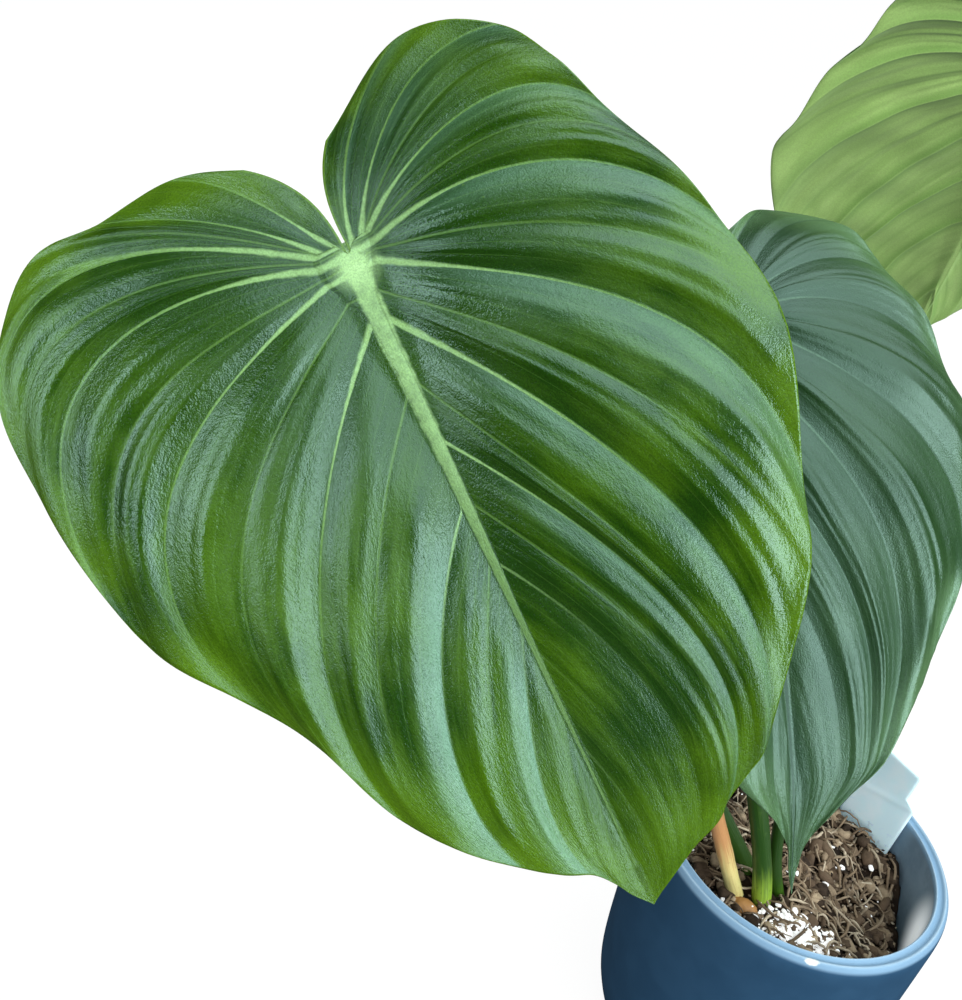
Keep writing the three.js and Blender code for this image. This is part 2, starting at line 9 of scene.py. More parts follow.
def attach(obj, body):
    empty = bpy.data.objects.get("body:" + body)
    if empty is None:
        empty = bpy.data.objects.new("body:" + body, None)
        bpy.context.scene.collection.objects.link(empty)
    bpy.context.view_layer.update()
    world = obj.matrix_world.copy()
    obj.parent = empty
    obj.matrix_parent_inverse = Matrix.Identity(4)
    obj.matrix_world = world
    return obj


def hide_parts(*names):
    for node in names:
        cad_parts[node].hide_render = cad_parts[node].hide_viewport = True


# Potted philodendron with three large heart-shaped leaves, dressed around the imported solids.
# Sizes are in millimetres in the lists below and turned into metres where meshes are made.
MM = 0.001

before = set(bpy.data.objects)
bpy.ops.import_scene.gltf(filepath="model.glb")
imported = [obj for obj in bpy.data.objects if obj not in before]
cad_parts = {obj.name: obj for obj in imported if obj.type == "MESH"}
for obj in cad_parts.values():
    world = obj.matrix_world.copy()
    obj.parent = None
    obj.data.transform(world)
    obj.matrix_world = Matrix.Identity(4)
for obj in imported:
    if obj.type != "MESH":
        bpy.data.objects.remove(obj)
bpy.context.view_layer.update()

# Pot
POT_HEIGHT = 138
POT_RIM_RADIUS = 65
POT_BELLY_RADIUS = 66.2
POT_FOOT_RADIUS = 50
POT_MOUTH_RADIUS = 59.5
POT_FLOOR_RADIUS = 49
POT_FLOOR = 5
POT_LIP_DEPTH = 6
POT_WALL_CURVE = 0.45
POT_SEGMENTS = 192
RIM_CHIP = (-6, -64, 137.6)
# Centre of the painted highlight that glows on the inner wall
INNER_PAINTED_HIGHLIGHT = (57, -27, 118)
# Heights where the painted light on the top of the lip begins and is full
LIP_PAINTED_LIGHT_FROM = 134.6
LIP_PAINTED_LIGHT_FULL = 136.6

# Soil
SOIL_LEVEL = 113
SOIL_RADIUS = 58
CHIPS = 1150
CRUMBS = 1500
FIBRES = 420
GRAINS = 600
PALE_PATCH = (0, -38)
SOIL_WALL_GAP = 0.9
SOIL_WALL_LEVELS = (95, 75, 50, 28, 12, POT_FLOOR + 0.3)

# Leaf blades
BLADE_LENGTH = 187
BLADE_THICKNESS = 0.7
RIB_THICKNESS = 2.2
CREST = 0.56
CREST_ROUNDING = 0.09
FOLD_ROUNDING = 0.07
LONE_SHARE = 0.35
CALM_TIP = (0.3, 0.75)
HUB_WIDTH = 14
FOLD_REACH = 40
DROOP_REACH = 100
LOBE_BEND = 0.6
LOBE_REACH = 50
RIPPLE_LENGTH = 9
LUMP_LENGTH = 34
HUB_RADIUS = 7.5
MIDRIB_HALF_WIDTH = 3.4
ROW_STEPS = (0, 0.04, 0.1, 0.18, 0.26, 1 / 3, 0.42, 0.5, 0.58, 2 / 3, 0.74, 0.82, 0.9, 0.96)
HALF_COLUMNS = 78
MIDRIB_COLUMNS = 9
NO_VEIN = 99.0
# Colour of the painted sheen laid along one flank of the veins, for light reflected there
PAINTED_SHEEN_GREEN = (0.105, 0.225, 0.145)

# One line for each vein of a half blade, from the notch at the stalk to the tip.
# kind: main vein, side vein or edge. Then the curve's four control points: distance
# from the hub towards the tip and distance from the midrib.
RIGHT_VEINS = [
    ("edge", (-4, 0.4), (-13, -0.2), (-24, -1), (-35, 7)),
    ("main", (-6, 2), (-20, 4), (-38, 13), (-52, 36)),
    ("main", (-7, 5), (-22, 13), (-50, 36), (-42, 63)),
    ("side", (-7, 6), (-21, 18), (-43, 50), (-27, 70.5)),
    ("main", (-7, 7), (-20, 24), (-35, 60), (-11, 76.5)),
    ("side", (-6, 8), (-15, 30), (-22, 66), (8.5, 85.5)),
    ("main", (-4, 8), (-10, 34), (-8, 72), (29, 92)),
    ("side", (-2, 7), (5, 30), (12, 72), (54, 97)),
    ("main", (1, 6), (20, 36), (45, 92), (99, 84)),
    ("side", (8, 3), (32, 30), (70, 74), (122, 74)),
    ("main", (16, 2), (55, 34), (112, 75), (156, 47)),
    ("side", (34, 2), (75, 24), (130, 64), (162, 39)),
    ("main", (51, 2), (85, 27), (135, 60), (167, 31)),
    ("side", (69, 2), (100, 22), (145, 50), (171, 26)),
    ("main", (86, 1.5), (112, 20), (150, 36), (175, 18)),
    ("side", (112, 1), (135, 12), (162, 20), (180, 10)),
    ("main", (140, 1), (155, 6), (172, 9), (184, 4)),
    ("edge", (175, 0.6), (179, 0.9), (183, 0.7), (187, 0)),
]
LEFT_VEINS = [
    ("edge", (-4, 0.5), (-14, 0.8), (-27, 2.5), (-36, 16.5)),
    ("main", (-7, 3), (-18, 12), (-36, 20), (-42.5, 37)),
    ("main", (-7, 7), (-18, 18), (-31, 34), (-38, 58)),
    ("side", (-7, 8), (-22, 30), (-39, 56), (-37, 81)),
    ("main", (-6, 9), (-28, 46), (-42, 84), (-5, 101)),
    ("side", (-5, 10), (-18, 46), (-30, 98), (22, 102)),
    ("main", (-3, 10), (-12, 40), (-20, 104), (52, 97)),
    ("side", (0, 10), (6, 44), (2, 92), (68, 92)),
    ("main", (2, 9), (14, 42), (30, 96), (88, 77)),
    ("side", (8, 6), (28, 32), (55, 82), (110, 62)),
    ("main", (16, 3), (45, 31), (90, 66), (135, 52)),
    ("side", (36, 2), (70, 30), (115, 56), (148, 41)),
    ("main", (69, 2), (90, 21), (130, 42), (161, 28)),
    ("side", (85, 1.5), (110, 15), (140, 30), (167, 19)),
    ("main", (104, 1), (125, 9), (150, 20), (171, 12)),
    ("side", (130, 1), (148, 6), (165, 11), (177, 7)),
    ("main", (150, 0.8), (163, 4), (175, 6), (182, 4)),
    ("edge", (175, 0.6), (179, 0.9), (183, 0.7), (187, 0)),
]

# The three leaves stand where their solids stand. Colours are linear.
LEAVES = {
    "leaf_front": dict(
        hub=(-220, -43, 367), tip=(0.603, -0.421, -0.677), face=(-0.018, -0.856, 0.517),
        length=1.124, width=1.082, taper=0, taper_from=0, point=0, hook=0,
        fold=0.3, arch=16, droop=6, wave=1.5, phase=0.2,
        swell=0.08, pleat=0.15, lumps=0.4, painted_sheen=0.75, seed=3,
        dark=(0.009, 0.038, 0.001), light=(0.048, 0.115, 0.001), blush=(0.012, 0.042, 0.004),
        border=(0.085, 0.175, 0.006), vein=(0.22, 0.38, 0.13), line=(0.11, 0.22, 0.04),
        under=(0.14, 0.27, 0.07), rough=0.21, texture=1,
    ),
    "leaf_middle": dict(
        hub=(-98, 16, 356), tip=(0.334, -0.67, -0.663), face=(0.262, -0.61, 0.748),
        length=1.02, width=0.96, taper=0.43, taper_from=0.25, point=0.7, hook=-2.5,
        fold=0.34, arch=28, droop=10, wave=1.5, phase=0.7,
        swell=0.135, pleat=0.01, lumps=0.5, painted_sheen=0.12, seed=11,
        dark=(0.009, 0.036, 0.005), light=(0.024, 0.062, 0.018), blush=(0.018, 0.048, 0.024),
        border=(0.10, 0.19, 0.08), vein=(0.06, 0.12, 0.065), line=(0.018, 0.05, 0.02),
        under=(0.12, 0.24, 0.09), rough=0.3, texture=0.4,
    ),
    "leaf_back": dict(
        hub=(25.5, 146.8, 443.3), tip=(0.167, 0.646, -0.745), face=(-0.083, 0.762, 0.642),
        length=1.054, width=1.04, taper=-0.15, taper_from=0, point=0, hook=0,
        fold=0.34, arch=14, droop=8, wave=2, phase=0.4,
        swell=0.1, pleat=0.06, lumps=0.5, painted_sheen=0, seed=23,
        dark=(0.02, 0.07, 0.003), light=(0.05, 0.13, 0.008), blush=(0.022, 0.065, 0.015),
        border=(0.07, 0.17, 0.03), vein=(0.28, 0.46, 0.15), line=(0.10, 0.2, 0.05),
        # This underside is much paler than the other leaves': painted light for light shining through the
        # blade.
        under=(0.36, 0.56, 0.16), rough=0.4, texture=0.7,
    ),
}

# The stalks: cubic curves from the soil to the hubs, as in the solids. The old one has no leaf.
STALKS = {
    "petiole_front": dict(
        leaf="leaf_front", foot=(-10, -9, 106), lower=(-62, 2, 185), reach=75, bow=(0, 0, 0),
        radii=(4.2, 3.4),
    ),
    "petiole_middle": dict(
        leaf="leaf_middle", foot=(-11.5, -21, 106), lower=(-28, -32, 190), reach=60, bow=(0, 0, 0),
        radii=(4.4, 3.2),
    ),
    "petiole_back": dict(
        leaf="leaf_back", foot=(0, -18, 106), lower=(-72, -2, 232), reach=150, bow=(74, 0, 0),
        radii=(2.8, 2.8),
    ),
    "old_petiole": dict(
        foot=(-21, -22, 108), lower=(-31, -22, 128), upper=(-50, -21, 165), end=(-70, -17, 205),
        radii=(3.7, 3.5),
    ),
}
STUMP = dict(start=(-28, -26, 116.5), end=(-17, -30.5, 116.5), radius=4.6)
STUMP_SHIFTS = [Vector((9.3, 0, 0)), Vector((0, 7.1, 0)), Vector((0, 0, 5.7))]
STALK_FEET = [(-10, -9, 6), (-11.5, -21, 6), (-3, -17.5, 5), (-24, -22, 6), (-22, -28, 7)]
STALK_SWELLING = 0.5
SOLID_BLADE = 0.9
SOLID_RIB = 2.0
SEAT_GAP = 0.3
SLANT_SHARE = 0.6

# Looks of the stalks: name, colour at the foot, higher up and of the streaks, and the height of the change
STALK_LOOKS = {
    "petiole_front": ("stalk_front", (0.05, 0.13, 0.012), (0.03, 0.085, 0.01), (0.07, 0.12, 0.03), 20),
    "petiole_middle": ("stalk_middle", (0.33, 0.52, 0.05), (0.016, 0.055, 0.004), (0.06, 0.12, 0.02), 24),
    "petiole_back": ("stalk_back", (0.05, 0.13, 0.008), (0.014, 0.048, 0.004), (0.03, 0.06, 0.01), 18),
    "old_petiole": ("stalk_old", (0.70, 0.60, 0.24), (0.52, 0.25, 0.10), (0.36, 0.20, 0.07), 34),
}
STUMP_LOOK = ("stump", (0.42, 0.20, 0.06), (0.40, 0.19, 0.06), (0.20, 0.10, 0.04), 5, 0.6)

# Label
LABEL_FOOT = (50.5, 18)
LABEL_ALONG = (-0.566, 0.825)
LABEL_LEAN = 0.11
LABEL_WIDTH = 30
LABEL_HEIGHT = 42
LABEL_SHOULDER = 27
LABEL_STEP = 5.5
LABEL_THICKNESS = 1
LABEL_SLOT = 12
LABEL_POINT = 8

# Camera, in millimetres: where it stands and its own right, up and backward directions.
CAMERA_PLACE = (-170.1, -322.5, 465.8)
CAMERA_RIGHT = (0.9778, 0.1076, 0.18)
CAMERA_UP = (-0.2098, 0.5017, 0.8392)
CAMERA_BACK = (0, -0.8583, 0.5131)
LENS = 36
SENSOR = 36

# Light of the room: the side that it comes from, its least and most, and where it changes
SKY_SIDE = (0.35, -0.05, 0.935)
SKY_COLOUR = (0.88, 0.98, 1.0, 1)
SKY_LEVELS = {"From Min": 0.64, "From Max": 1.0, "To Min": 0.04, "To Max": 2.9}

# Lamps: place, target and size in metres, watts, colour, and whether gloss mirrors them
LAMPS = [
    ("window", (0.96, -0.77, 0.73), (-0.1, 0, 0.28), (0.8, 0.95), 15, (0.90, 1, 1), True),
    ("left_window", (-1.11, -0.84, 0.74), (-0.1, 0, 0.28), (0.65, 0.9), 9, (0.90, 1, 1), True),
    ("room", (0.1, -1.9, 1.25), (0, 0, 0.25), (2.4, 1.6), 30, (1, 1, 1), False),
    ("rear", (-0.2, 1.9, 0.9), (0, 0, 0.25), (2.0, 1.6), 26, (1, 1, 1), False),
]


# Materials

class Look:
    """A node material built in a few plain calls. Inputs may be numbers, colours or sockets."""

    def __init__(self, name, **constants):
        self.material = bpy.data.materials.new(name)
        self.material.use_nodes = True
        self.tree = self.material.node_tree
        self.shader = self.tree.nodes["Principled BSDF"]
        self.colour = None
        for key, value in constants.items():
            self.set(key.replace("_", " ").title().replace("Ior", "IOR"), value)

    def feed(self, socket, value):
        if isinstance(value, bpy.types.NodeSocket):
            self.tree.links.new(value, socket)
        elif isinstance(value, tuple) and len(value) == 3 and socket.type == "RGBA":
            socket.default_value = (*value, 1)
        else:
            socket.default_value = value

    def set(self, name, value):
        self.feed(self.shader.inputs[name], value)

    def node(self, kind, inputs, **settings):
        made = self.tree.nodes.new(kind)
        for key, value in settings.items():
            setattr(made, key, value)
        for key, value in inputs.items():
            self.feed(made.inputs[key], value)
        return made

    def attribute(self, name):
        return self.node("ShaderNodeAttribute", {}, attribute_name=name).outputs["Vector"]

    def parts(self, name):
        """The three numbers that an attribute holds."""
        return self.node("ShaderNodeSeparateXYZ", {0: self.attribute(name)}).outputs

    def position(self):
        return self.node("ShaderNodeTexCoord", {}).outputs["Object"]

    def offset(self, place, centre):
        """The way to a place from a centre in millimetres."""
        centre = tuple(c * MM for c in centre)
        return self.node("ShaderNodeVectorMath", {0: place, 1: centre}, operation="SUBTRACT").outputs[0]

    def length(self, vector):
        return self.node("ShaderNodeVectorMath", {0: vector}, operation="LENGTH").outputs["Value"]

    def stretched(self, vector, scale):
        return self.node("ShaderNodeMapping", {"Vector": vector, "Scale": scale}).outputs[0]

    def noise(self, vector, scale, detail=2, roughness=0.5):
        inputs = {"Vector": vector, "Scale": scale, "Detail": detail, "Roughness": roughness}
        return self.node("ShaderNodeTexNoise", inputs).outputs[0]

    def streaks(self, scale):
        """Noise that is drawn out along the flow of the veins or the stalk."""
        return self.noise(self.stretched(self.attribute("flow"), scale), 1, 3, 0.6)

    def cells(self, vector, scale):
        return self.node("ShaderNodeTexVoronoi", {"Vector": vector, "Scale": scale}).outputs[0]

    def math(self, operation, a, b):
        return self.node("ShaderNodeMath", {0: a, 1: b}, operation=operation).outputs[0]

    def plus(self, a, b):
        return self.math("ADD", a, b)

    def times(self, a, b):
        return self.math("MULTIPLY", a, b)

    def ramp(self, value, low, high, start=0, end=1):
        """start below low, end above high, and a smooth change between them."""
        inputs = {"Value": value, "From Min": low, "From Max": high, "To Min": start, "To Max": end}
        return self.node("ShaderNodeMapRange", inputs, interpolation_type="SMOOTHSTEP").outputs[0]

    def mix(self, factor, a, b, blend="MIX"):
        inputs = {0: factor, 6: a, 7: b}
        made = self.node("ShaderNodeMix", inputs, data_type="RGBA", blend_type=blend)
        return made.outputs[2]

    def lay(self, over, mask, strength=1):
        """Lays a colour over the one so far, where the mask says."""
        mask = mask if strength == 1 else self.times(mask, strength)
        self.colour = self.mix(mask, self.colour, over)

    def speckle(self, grain, darkest, lightest):
        """Makes the colour a little darker and lighter by a fine grain."""
        level = self.ramp(grain, 0.2, 0.8, darkest, lightest)
        grey = self.node("ShaderNodeCombineXYZ", {0: level, 1: level, 2: level}).outputs[0]
        self.colour = self.mix(1, self.colour, grey, "MULTIPLY")

    def bump(self, height, depth_mm, below=None):
        inputs = {"Height": height, "Distance": depth_mm * MM, "Strength": 1}
        if below is not None:
            inputs["Normal"] = below
        return self.node("ShaderNodeBump", inputs).outputs[0]

    def finish(self, normal):
        self.set("Base Color", self.colour)
        self.set("Normal", normal)
        return self.material


class LeafLook(Look):
    """A look that also names what the attributes of a blade hold."""

    def __init__(self, name, **constants):
        super().__init__(name, **constants)
        self.main, self.side, self.fine = self.parts("veins")
        self.share, self.painted_sheen, self.edge = self.parts("place")
        self.inside, self.hub, self.along = self.parts("midrib")


def scaled(colour, factor):
    return tuple(factor * c for c in colour)


def leaf_green(look, leaf, streak):
    """Light and dark patches, darker round the hub, with a bluish tone by the veins and a painted sheen along
    one flank of the veins.
    """
    blotch = look.noise(look.position(), 22, 3)
    streaky = 0.4 * leaf["texture"]
    patches = look.plus(look.times(blotch, 1 - streaky), look.times(streak, streaky))
    look.colour = look.mix(look.ramp(patches, 0.38, 0.62), leaf["dark"], leaf["light"])
    look.lay(leaf["dark"], look.ramp(look.hub, 15, 4, 0, 0.75))
    near_vein = look.times(look.ramp(look.main, 9, 1), look.ramp(look.share, 0.75, 0.1))
    look.lay(leaf["blush"], near_vein, 0.6)
    border = look.times(look.ramp(look.edge, 30, 2), look.ramp(blotch, 0.3, 0.62))
    look.lay(leaf["border"], border, 0.75)
    # Painted sheen: pale bluish green along one flank of the veins, standing for reflected light.
    painted_sheen_mask = look.times(look.painted_sheen, look.ramp(streak, 0.3, 0.7, 0.5, 1))
    look.lay(PAINTED_SHEEN_GREEN, painted_sheen_mask, leaf["painted_sheen"])


def side_veins(look, leaf):
    """How strongly the side veins show: least at the edge and near the tip."""
    strength = look.ramp(look.share, 1, 0.1, 0.15 * leaf["texture"], 0.5 * leaf["texture"])
    line = look.times(look.ramp(look.side, 0.5, 0.1), strength)
    return look.times(line, look.ramp(look.along, 0.7, 0.4, 0.15, 1))


def main_veins(look, wobble):
    """How strongly the main veins show: lines with ragged sides, wider near the hub."""
    near_hub = look.ramp(look.along, 0.32, 0.03, 0.1, 1)
    wide = look.times(look.ramp(look.share, 0.3, 0.0, 0, 0.6), near_hub)
    width = look.plus(wide, look.ramp(look.share, 1, 0.5, 0.2, 0.34))
    ratio = look.math("DIVIDE", look.plus(look.main, look.times(wobble, width)), width)
    away_from_tip = look.ramp(look.along, 0.65, 0.25, 0.12, 1)
    strength = look.times(look.ramp(look.share, 0.9, 0.1, 0.6, 0.95), away_from_tip)
    return look.times(look.ramp(ratio, 1.25, 0.3), strength)


def leaf_veins(look, leaf, mottle, side_line, main_line):
    """Lays the fine, side and main veins over the green."""
    fine_width = look.plus(look.fine, look.times(mottle, 0.25))
    look.lay(leaf["line"], look.ramp(fine_width, 0.36, 0.12), 0.16 * leaf["texture"])
    look.lay(leaf["line"], side_line)
    look.lay(look.mix(look.ramp(look.share, 0.5, 0.1), leaf["line"], leaf["vein"]), main_line)


def leaf_midrib(look, leaf, mottle, middle):
    """Lays the pale midrib and the hub over the veins."""
    rib = look.mix(look.ramp(mottle, 0.35, 0.7), leaf["vein"], scaled(leaf["vein"], 0.72))
    look.lay(look.mix(look.ramp(look.along, 0.1, 0.6), rib, scaled(leaf["line"], 0.7)), middle)
    pale = tuple(min(0.9, 1.35 * c + 0.05) for c in leaf["vein"])
    look.lay(pale, look.ramp(look.hub, 1.25, 0.1), 0.85)


def leaf_upper_look(name, leaf):
    """Green blade: pale midrib and veins, a painted bluish sheen on one flank of the veins, streaks along the
    veins and a fine grain.
    """
    look = LeafLook(name, specular_ior_level=0.8, specular_tint=(0.70, 1.0, 0.94))
    place = look.position()
    streak = look.streaks((0.55, 0.035, 1))
    grain = look.noise(place, 1900, 1, 0.6)
    mottle = look.noise(place, 260, 2, 0.6)
    wobble = look.times(look.math("SUBTRACT", mottle, 0.5), 0.9)
    middle = look.ramp(look.plus(look.inside, look.times(wobble, 0.5)), 1.2, 0.75)
    side_line = side_veins(look, leaf)

    leaf_green(look, leaf, streak)
    leaf_veins(look, leaf, mottle, side_line, main_veins(look, wobble))
    leaf_midrib(look, leaf, mottle, middle)
    look.lay(leaf["border"], look.ramp(look.edge, 0.75, 0.3))
    look.lay(leaf["border"], look.ramp(look.cells(place, 95), 0.05, 0.02), 0.35)
    look.speckle(grain, 0.78, 1.22)

    uneven = 0.065 * leaf["texture"]
    rough = look.ramp(streak, 0.3, 0.7, leaf["rough"] - uneven, leaf["rough"] + uneven)
    rough = look.plus(rough, look.ramp(look.noise(place, 14, 2), 0.4, 0.62, -0.04, 0.1))
    look.set("Roughness", look.plus(rough, look.times(middle, 0.2)))

    wrinkles = look.noise(look.stretched(look.attribute("flow"), (2.2, 0.5, 1)), 1, 3, 0.65)
    normal = look.bump(wrinkles, 0.22 * leaf["texture"])
    normal = look.bump(look.times(side_line, -1), 0.12, normal)
    normal = look.bump(mottle, 0.1, normal)
    return look.finish(look.bump(grain, 0.1, normal))


def leaf_under_look(name, leaf):
    """Paler, duller underside with raised veins and painted shade beside them."""
    look = LeafLook(name, roughness=0.62, sheen_roughness=0.5, sheen_weight=0.15)
    place = look.position()
    streak = look.streaks((0.4, 0.03, 1))
    blotch = look.noise(place, 25, 2)
    grain = look.noise(place, 1500, 2)
    base = leaf["under"]
    painted_shade_green = tuple(c * k for c, k in zip(base, (0.66, 0.78, 0.62)))
    paler = tuple(c * k for c, k in zip(base, (1.25, 1.18, 1.3)))
    look.colour = look.mix(look.ramp(streak, 0.35, 0.65), base, paler)
    look.lay(base, look.ramp(blotch, 0.4, 0.65), 0.5)
    # Painted shade: a deeper green beside the raised main and side veins.
    shade = look.times(look.ramp(look.main, 4.5, 0.6), look.ramp(look.share, 1, 0.5, 0.4, 1))
    look.lay(painted_shade_green, shade, 0.75)
    look.lay(painted_shade_green, look.ramp(look.side, 1.6, 0.2), 0.35)
    look.lay(paler, look.ramp(look.main, 0.5, 0.2), 0.55)
    look.lay(paler, look.ramp(look.inside, 1.2, 0.7), 0.8)
    look.speckle(grain, 0.9, 1.1)
    return look.finish(look.bump(grain, 0.04))


def stalk_look(name, low, high, streak_colour, turn_mm, roughness=0.4):
    """Living stalk: one colour at the foot, another above turn_mm, with fine lengthwise streaks."""
    look = Look(name, roughness=roughness, specular_ior_level=0.5)
    place = look.position()
    along = look.parts("flow")[1]
    streak = look.streaks((1.1, 0.04, 1))
    height = look.plus(along, look.times(look.math("SUBTRACT", streak, 0.5), turn_mm))
    look.colour = look.mix(look.ramp(height, turn_mm * 0.55, turn_mm * 1.45), low, high)
    look.lay(streak_colour, look.ramp(streak, 0.5, 0.75, 0, 0.5))
    look.lay(streak_colour, look.ramp(look.noise(place, 420, 3), 0.62, 0.72, 0, 0.4))
    return look.finish(look.bump(look.noise(place, 1300, 2), 0.05, look.bump(streak, 0.25)))


def pot_look():
    """Satin blue glaze: matte outside, glossy on the inner wall, one small chip. Painted light: the top of
    the lip paler, highlights along the lip's two ridges, a glowing highlight on the inner wall, and an inner
    wall that is partly its own paler grey-blue and partly painted reflected light.
    """
    look = Look("pot_glaze", specular_ior_level=0.4, specular_tint=(0.6, 0.85, 1.0),
                emission_strength=0.35)
    place = look.position()
    inside, height, ridge_highlights = look.parts("zone")
    mottle = look.noise(place, 60, 4, 0.6)
    patches = look.ramp(mottle, 0.35, 0.65)
    look.colour = look.mix(patches, (0.024, 0.069, 0.137), (0.028, 0.078, 0.152))
    # The inner wall is partly its own paler grey-blue glaze and partly painted reflected light.
    look.lay(look.mix(patches, (0.16, 0.23, 0.30), (0.22, 0.30, 0.38)), inside)

    # Painted highlight: a pale spot on the inner wall that also glows, standing for a reflection.
    apart = look.plus(look.length(look.offset(place, INNER_PAINTED_HIGHLIGHT)), look.times(mottle, 0.004))
    painted_highlight = look.times(look.ramp(apart, 0.025, 0.006), inside)
    look.lay((0.92, 0.95, 0.97), painted_highlight)
    look.set("Emission Color", look.mix(painted_highlight, (0, 0, 0), (0.9, 0.96, 1)))

    # Painted light: the top of the lip turns paler where light falls on it.
    look.lay((0.19, 0.31, 0.45), look.ramp(height, LIP_PAINTED_LIGHT_FROM, LIP_PAINTED_LIGHT_FULL))
    # Painted highlights along the two ridges of the lip.
    look.lay((0.34, 0.46, 0.57), look.times(ridge_highlights, look.ramp(mottle, 0.3, 0.6, 0.6, 1)))
    apart = look.length(look.stretched(look.offset(place, RIM_CHIP), (0.55, 1, 1)))
    ragged = look.plus(apart, look.times(look.noise(place, 900, 2), 0.0012))
    look.lay((0.72, 0.72, 0.68), look.ramp(ragged, 0.0024, 0.0017))

    rough = look.node("ShaderNodeMapRange", {"Value": inside, "To Min": 0.5, "To Max": 0.2}).outputs[0]
    look.set("Roughness", look.plus(rough, look.ramp(mottle, 0.3, 0.7, -0.04, 0.05)))
    return look.finish(look.bump(look.noise(place, 1200, 3, 0.6), 0.02, look.bump(mottle, 0.15)))


def soil_look(name, dark, mid, light, roughness=0.95, depth=0.3, glow=0):
    """Loose organic bits: each bit has its own tone, with fibre streaks and grime over it."""
    look = Look(name, roughness=roughness, specular_ior_level=0.25, emission_color=(1, 1, 1),
                emission_strength=glow)
    place = look.position()
    tone = look.parts("tone")[0]
    fibre = look.noise(place, 350, 4, 0.7)
    grime = look.noise(place, 90, 3, 0.6)
    mixed = look.plus(look.times(tone, 0.72), look.times(fibre, 0.28))
    look.colour = look.mix(look.ramp(mixed, 0.12, 0.5), dark, mid)
    look.lay(light, look.ramp(mixed, 0.55, 0.9))
    look.lay(dark, look.ramp(grime, 0.5, 0.7, 0, 0.5))
    return look.finish(look.bump(look.noise(place, 900, 4, 0.7), depth))


def label_look():
    """Pale blue plastic with a soft crease and faint smudges of soil near the foot."""
    # The plastic glows a little: painted light for light shining through it.
    look = Look("label_plastic", roughness=0.34, specular_ior_level=0.5, subsurface_weight=0.2,
                subsurface_radius=(0.002, 0.003, 0.004), subsurface_scale=1,
                emission_color=(0.6, 0.9, 1), emission_strength=0.13)
    place = look.position()
    up = look.parts("flow")[1]
    cloud = look.noise(place, 70, 3)
    look.colour = look.mix(look.ramp(cloud, 0.35, 0.65), (0.68, 0.87, 0.97), (0.78, 0.93, 1.0))
    specks = look.ramp(look.noise(place, 210, 4, 0.7), 0.55, 0.68)
    look.lay((0.30, 0.33, 0.33), look.times(specks, look.ramp(up, 12, 3)), 0.5)
    return look.finish(look.bump(cloud, 0.3))


# Meshes

def smooth(x):
    t = np.clip(x, 0, 1)
    return t * t * (3 - 2 * t)


def make_piece(name, points, faces, materials, replaces=(), attributes=None, picks=None):
    """A mesh from points in millimetres. attributes are vectors for each point, and picks says
    which of the materials each face takes."""
    mesh = bpy.data.meshes.new(name)
    mesh.from_pydata((np.asarray(points) * MM).tolist(), [], faces, shade_flat=False)
    for key, values in (attributes or {}).items():
        flat = np.asarray(values, np.float32).reshape(-1)
        mesh.attributes.new(key, "FLOAT_VECTOR", "POINT").data.foreach_set("vector", flat)
    for material in materials:
        mesh.materials.append(material)
    if picks is not None:
        mesh.polygons.foreach_set("material_index", np.asarray(picks, np.int32))
    mesh.validate()
    piece = bpy.data.objects.new(name, mesh)
    bpy.context.scene.collection.objects.link(piece)
    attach(piece, "root")
    if replaces:
        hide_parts(*replaces)
    return piece


def soft_waves(u, v, seed, length, count=7):
    """A smooth uneven field from -1 to 1 with bumps about length wide."""
    draw = random.Random(seed)
    total = np.zeros(np.broadcast(u, v).shape)
    for _ in range(count):
        angle = draw.uniform(0, math.pi)
        number = 2 * math.pi / (length * draw.uniform(0.7, 1.6))
        shift = draw.uniform(0, 2 * math.pi)
        total = total + np.sin(number * (u * math.cos(angle) + v * math.sin(angle)) + shift)
    return total / (0.7 * count)


def ring_faces(rings, sides, first=0):
    """Faces between rings of points, which follow each other from the point numbered first."""
    faces = []
    for i in range(rings - 1):
        for k in range(sides):
            a = first + i * sides + k
            b = first + i * sides + (k + 1) % sides
            faces.append([a, b, b + sides, a + sides])
    return faces


def spun_faces(rings, sides):
    """Faces of a closed round body: one point, then its rings, then one last point."""
    start = 1 + (rings - 1) * sides
    last = start + sides
    faces = ring_faces(rings, sides, 1)
    for k in range(sides):
        following = (k + 1) % sides
        faces.append([0, 1 + following, 1 + k])
        faces.append([last, start + k, start + following])
    return faces


# Leaves

def bezier_weights(s):
    r = 1 - s
    return np.stack([r**3, 3 * s * r**2, 3 * s**2 * r, s**3], axis=1)


def bezier_slopes(s):
    r = 1 - s
    return np.stack([-3 * r**2, 3 * r**2 - 6 * s * r, 6 * s * r - 3 * s**2, 3 * s**2], axis=1)


def on_curves(weights, controls):
    return np.einsum("sk,qkc->qsc", weights, controls)


def step_below(places, q):
    """Which step of places each q lies on."""
    return np.clip(np.searchsorted(places, q, "right") - 1, 0, len(places) - 2)


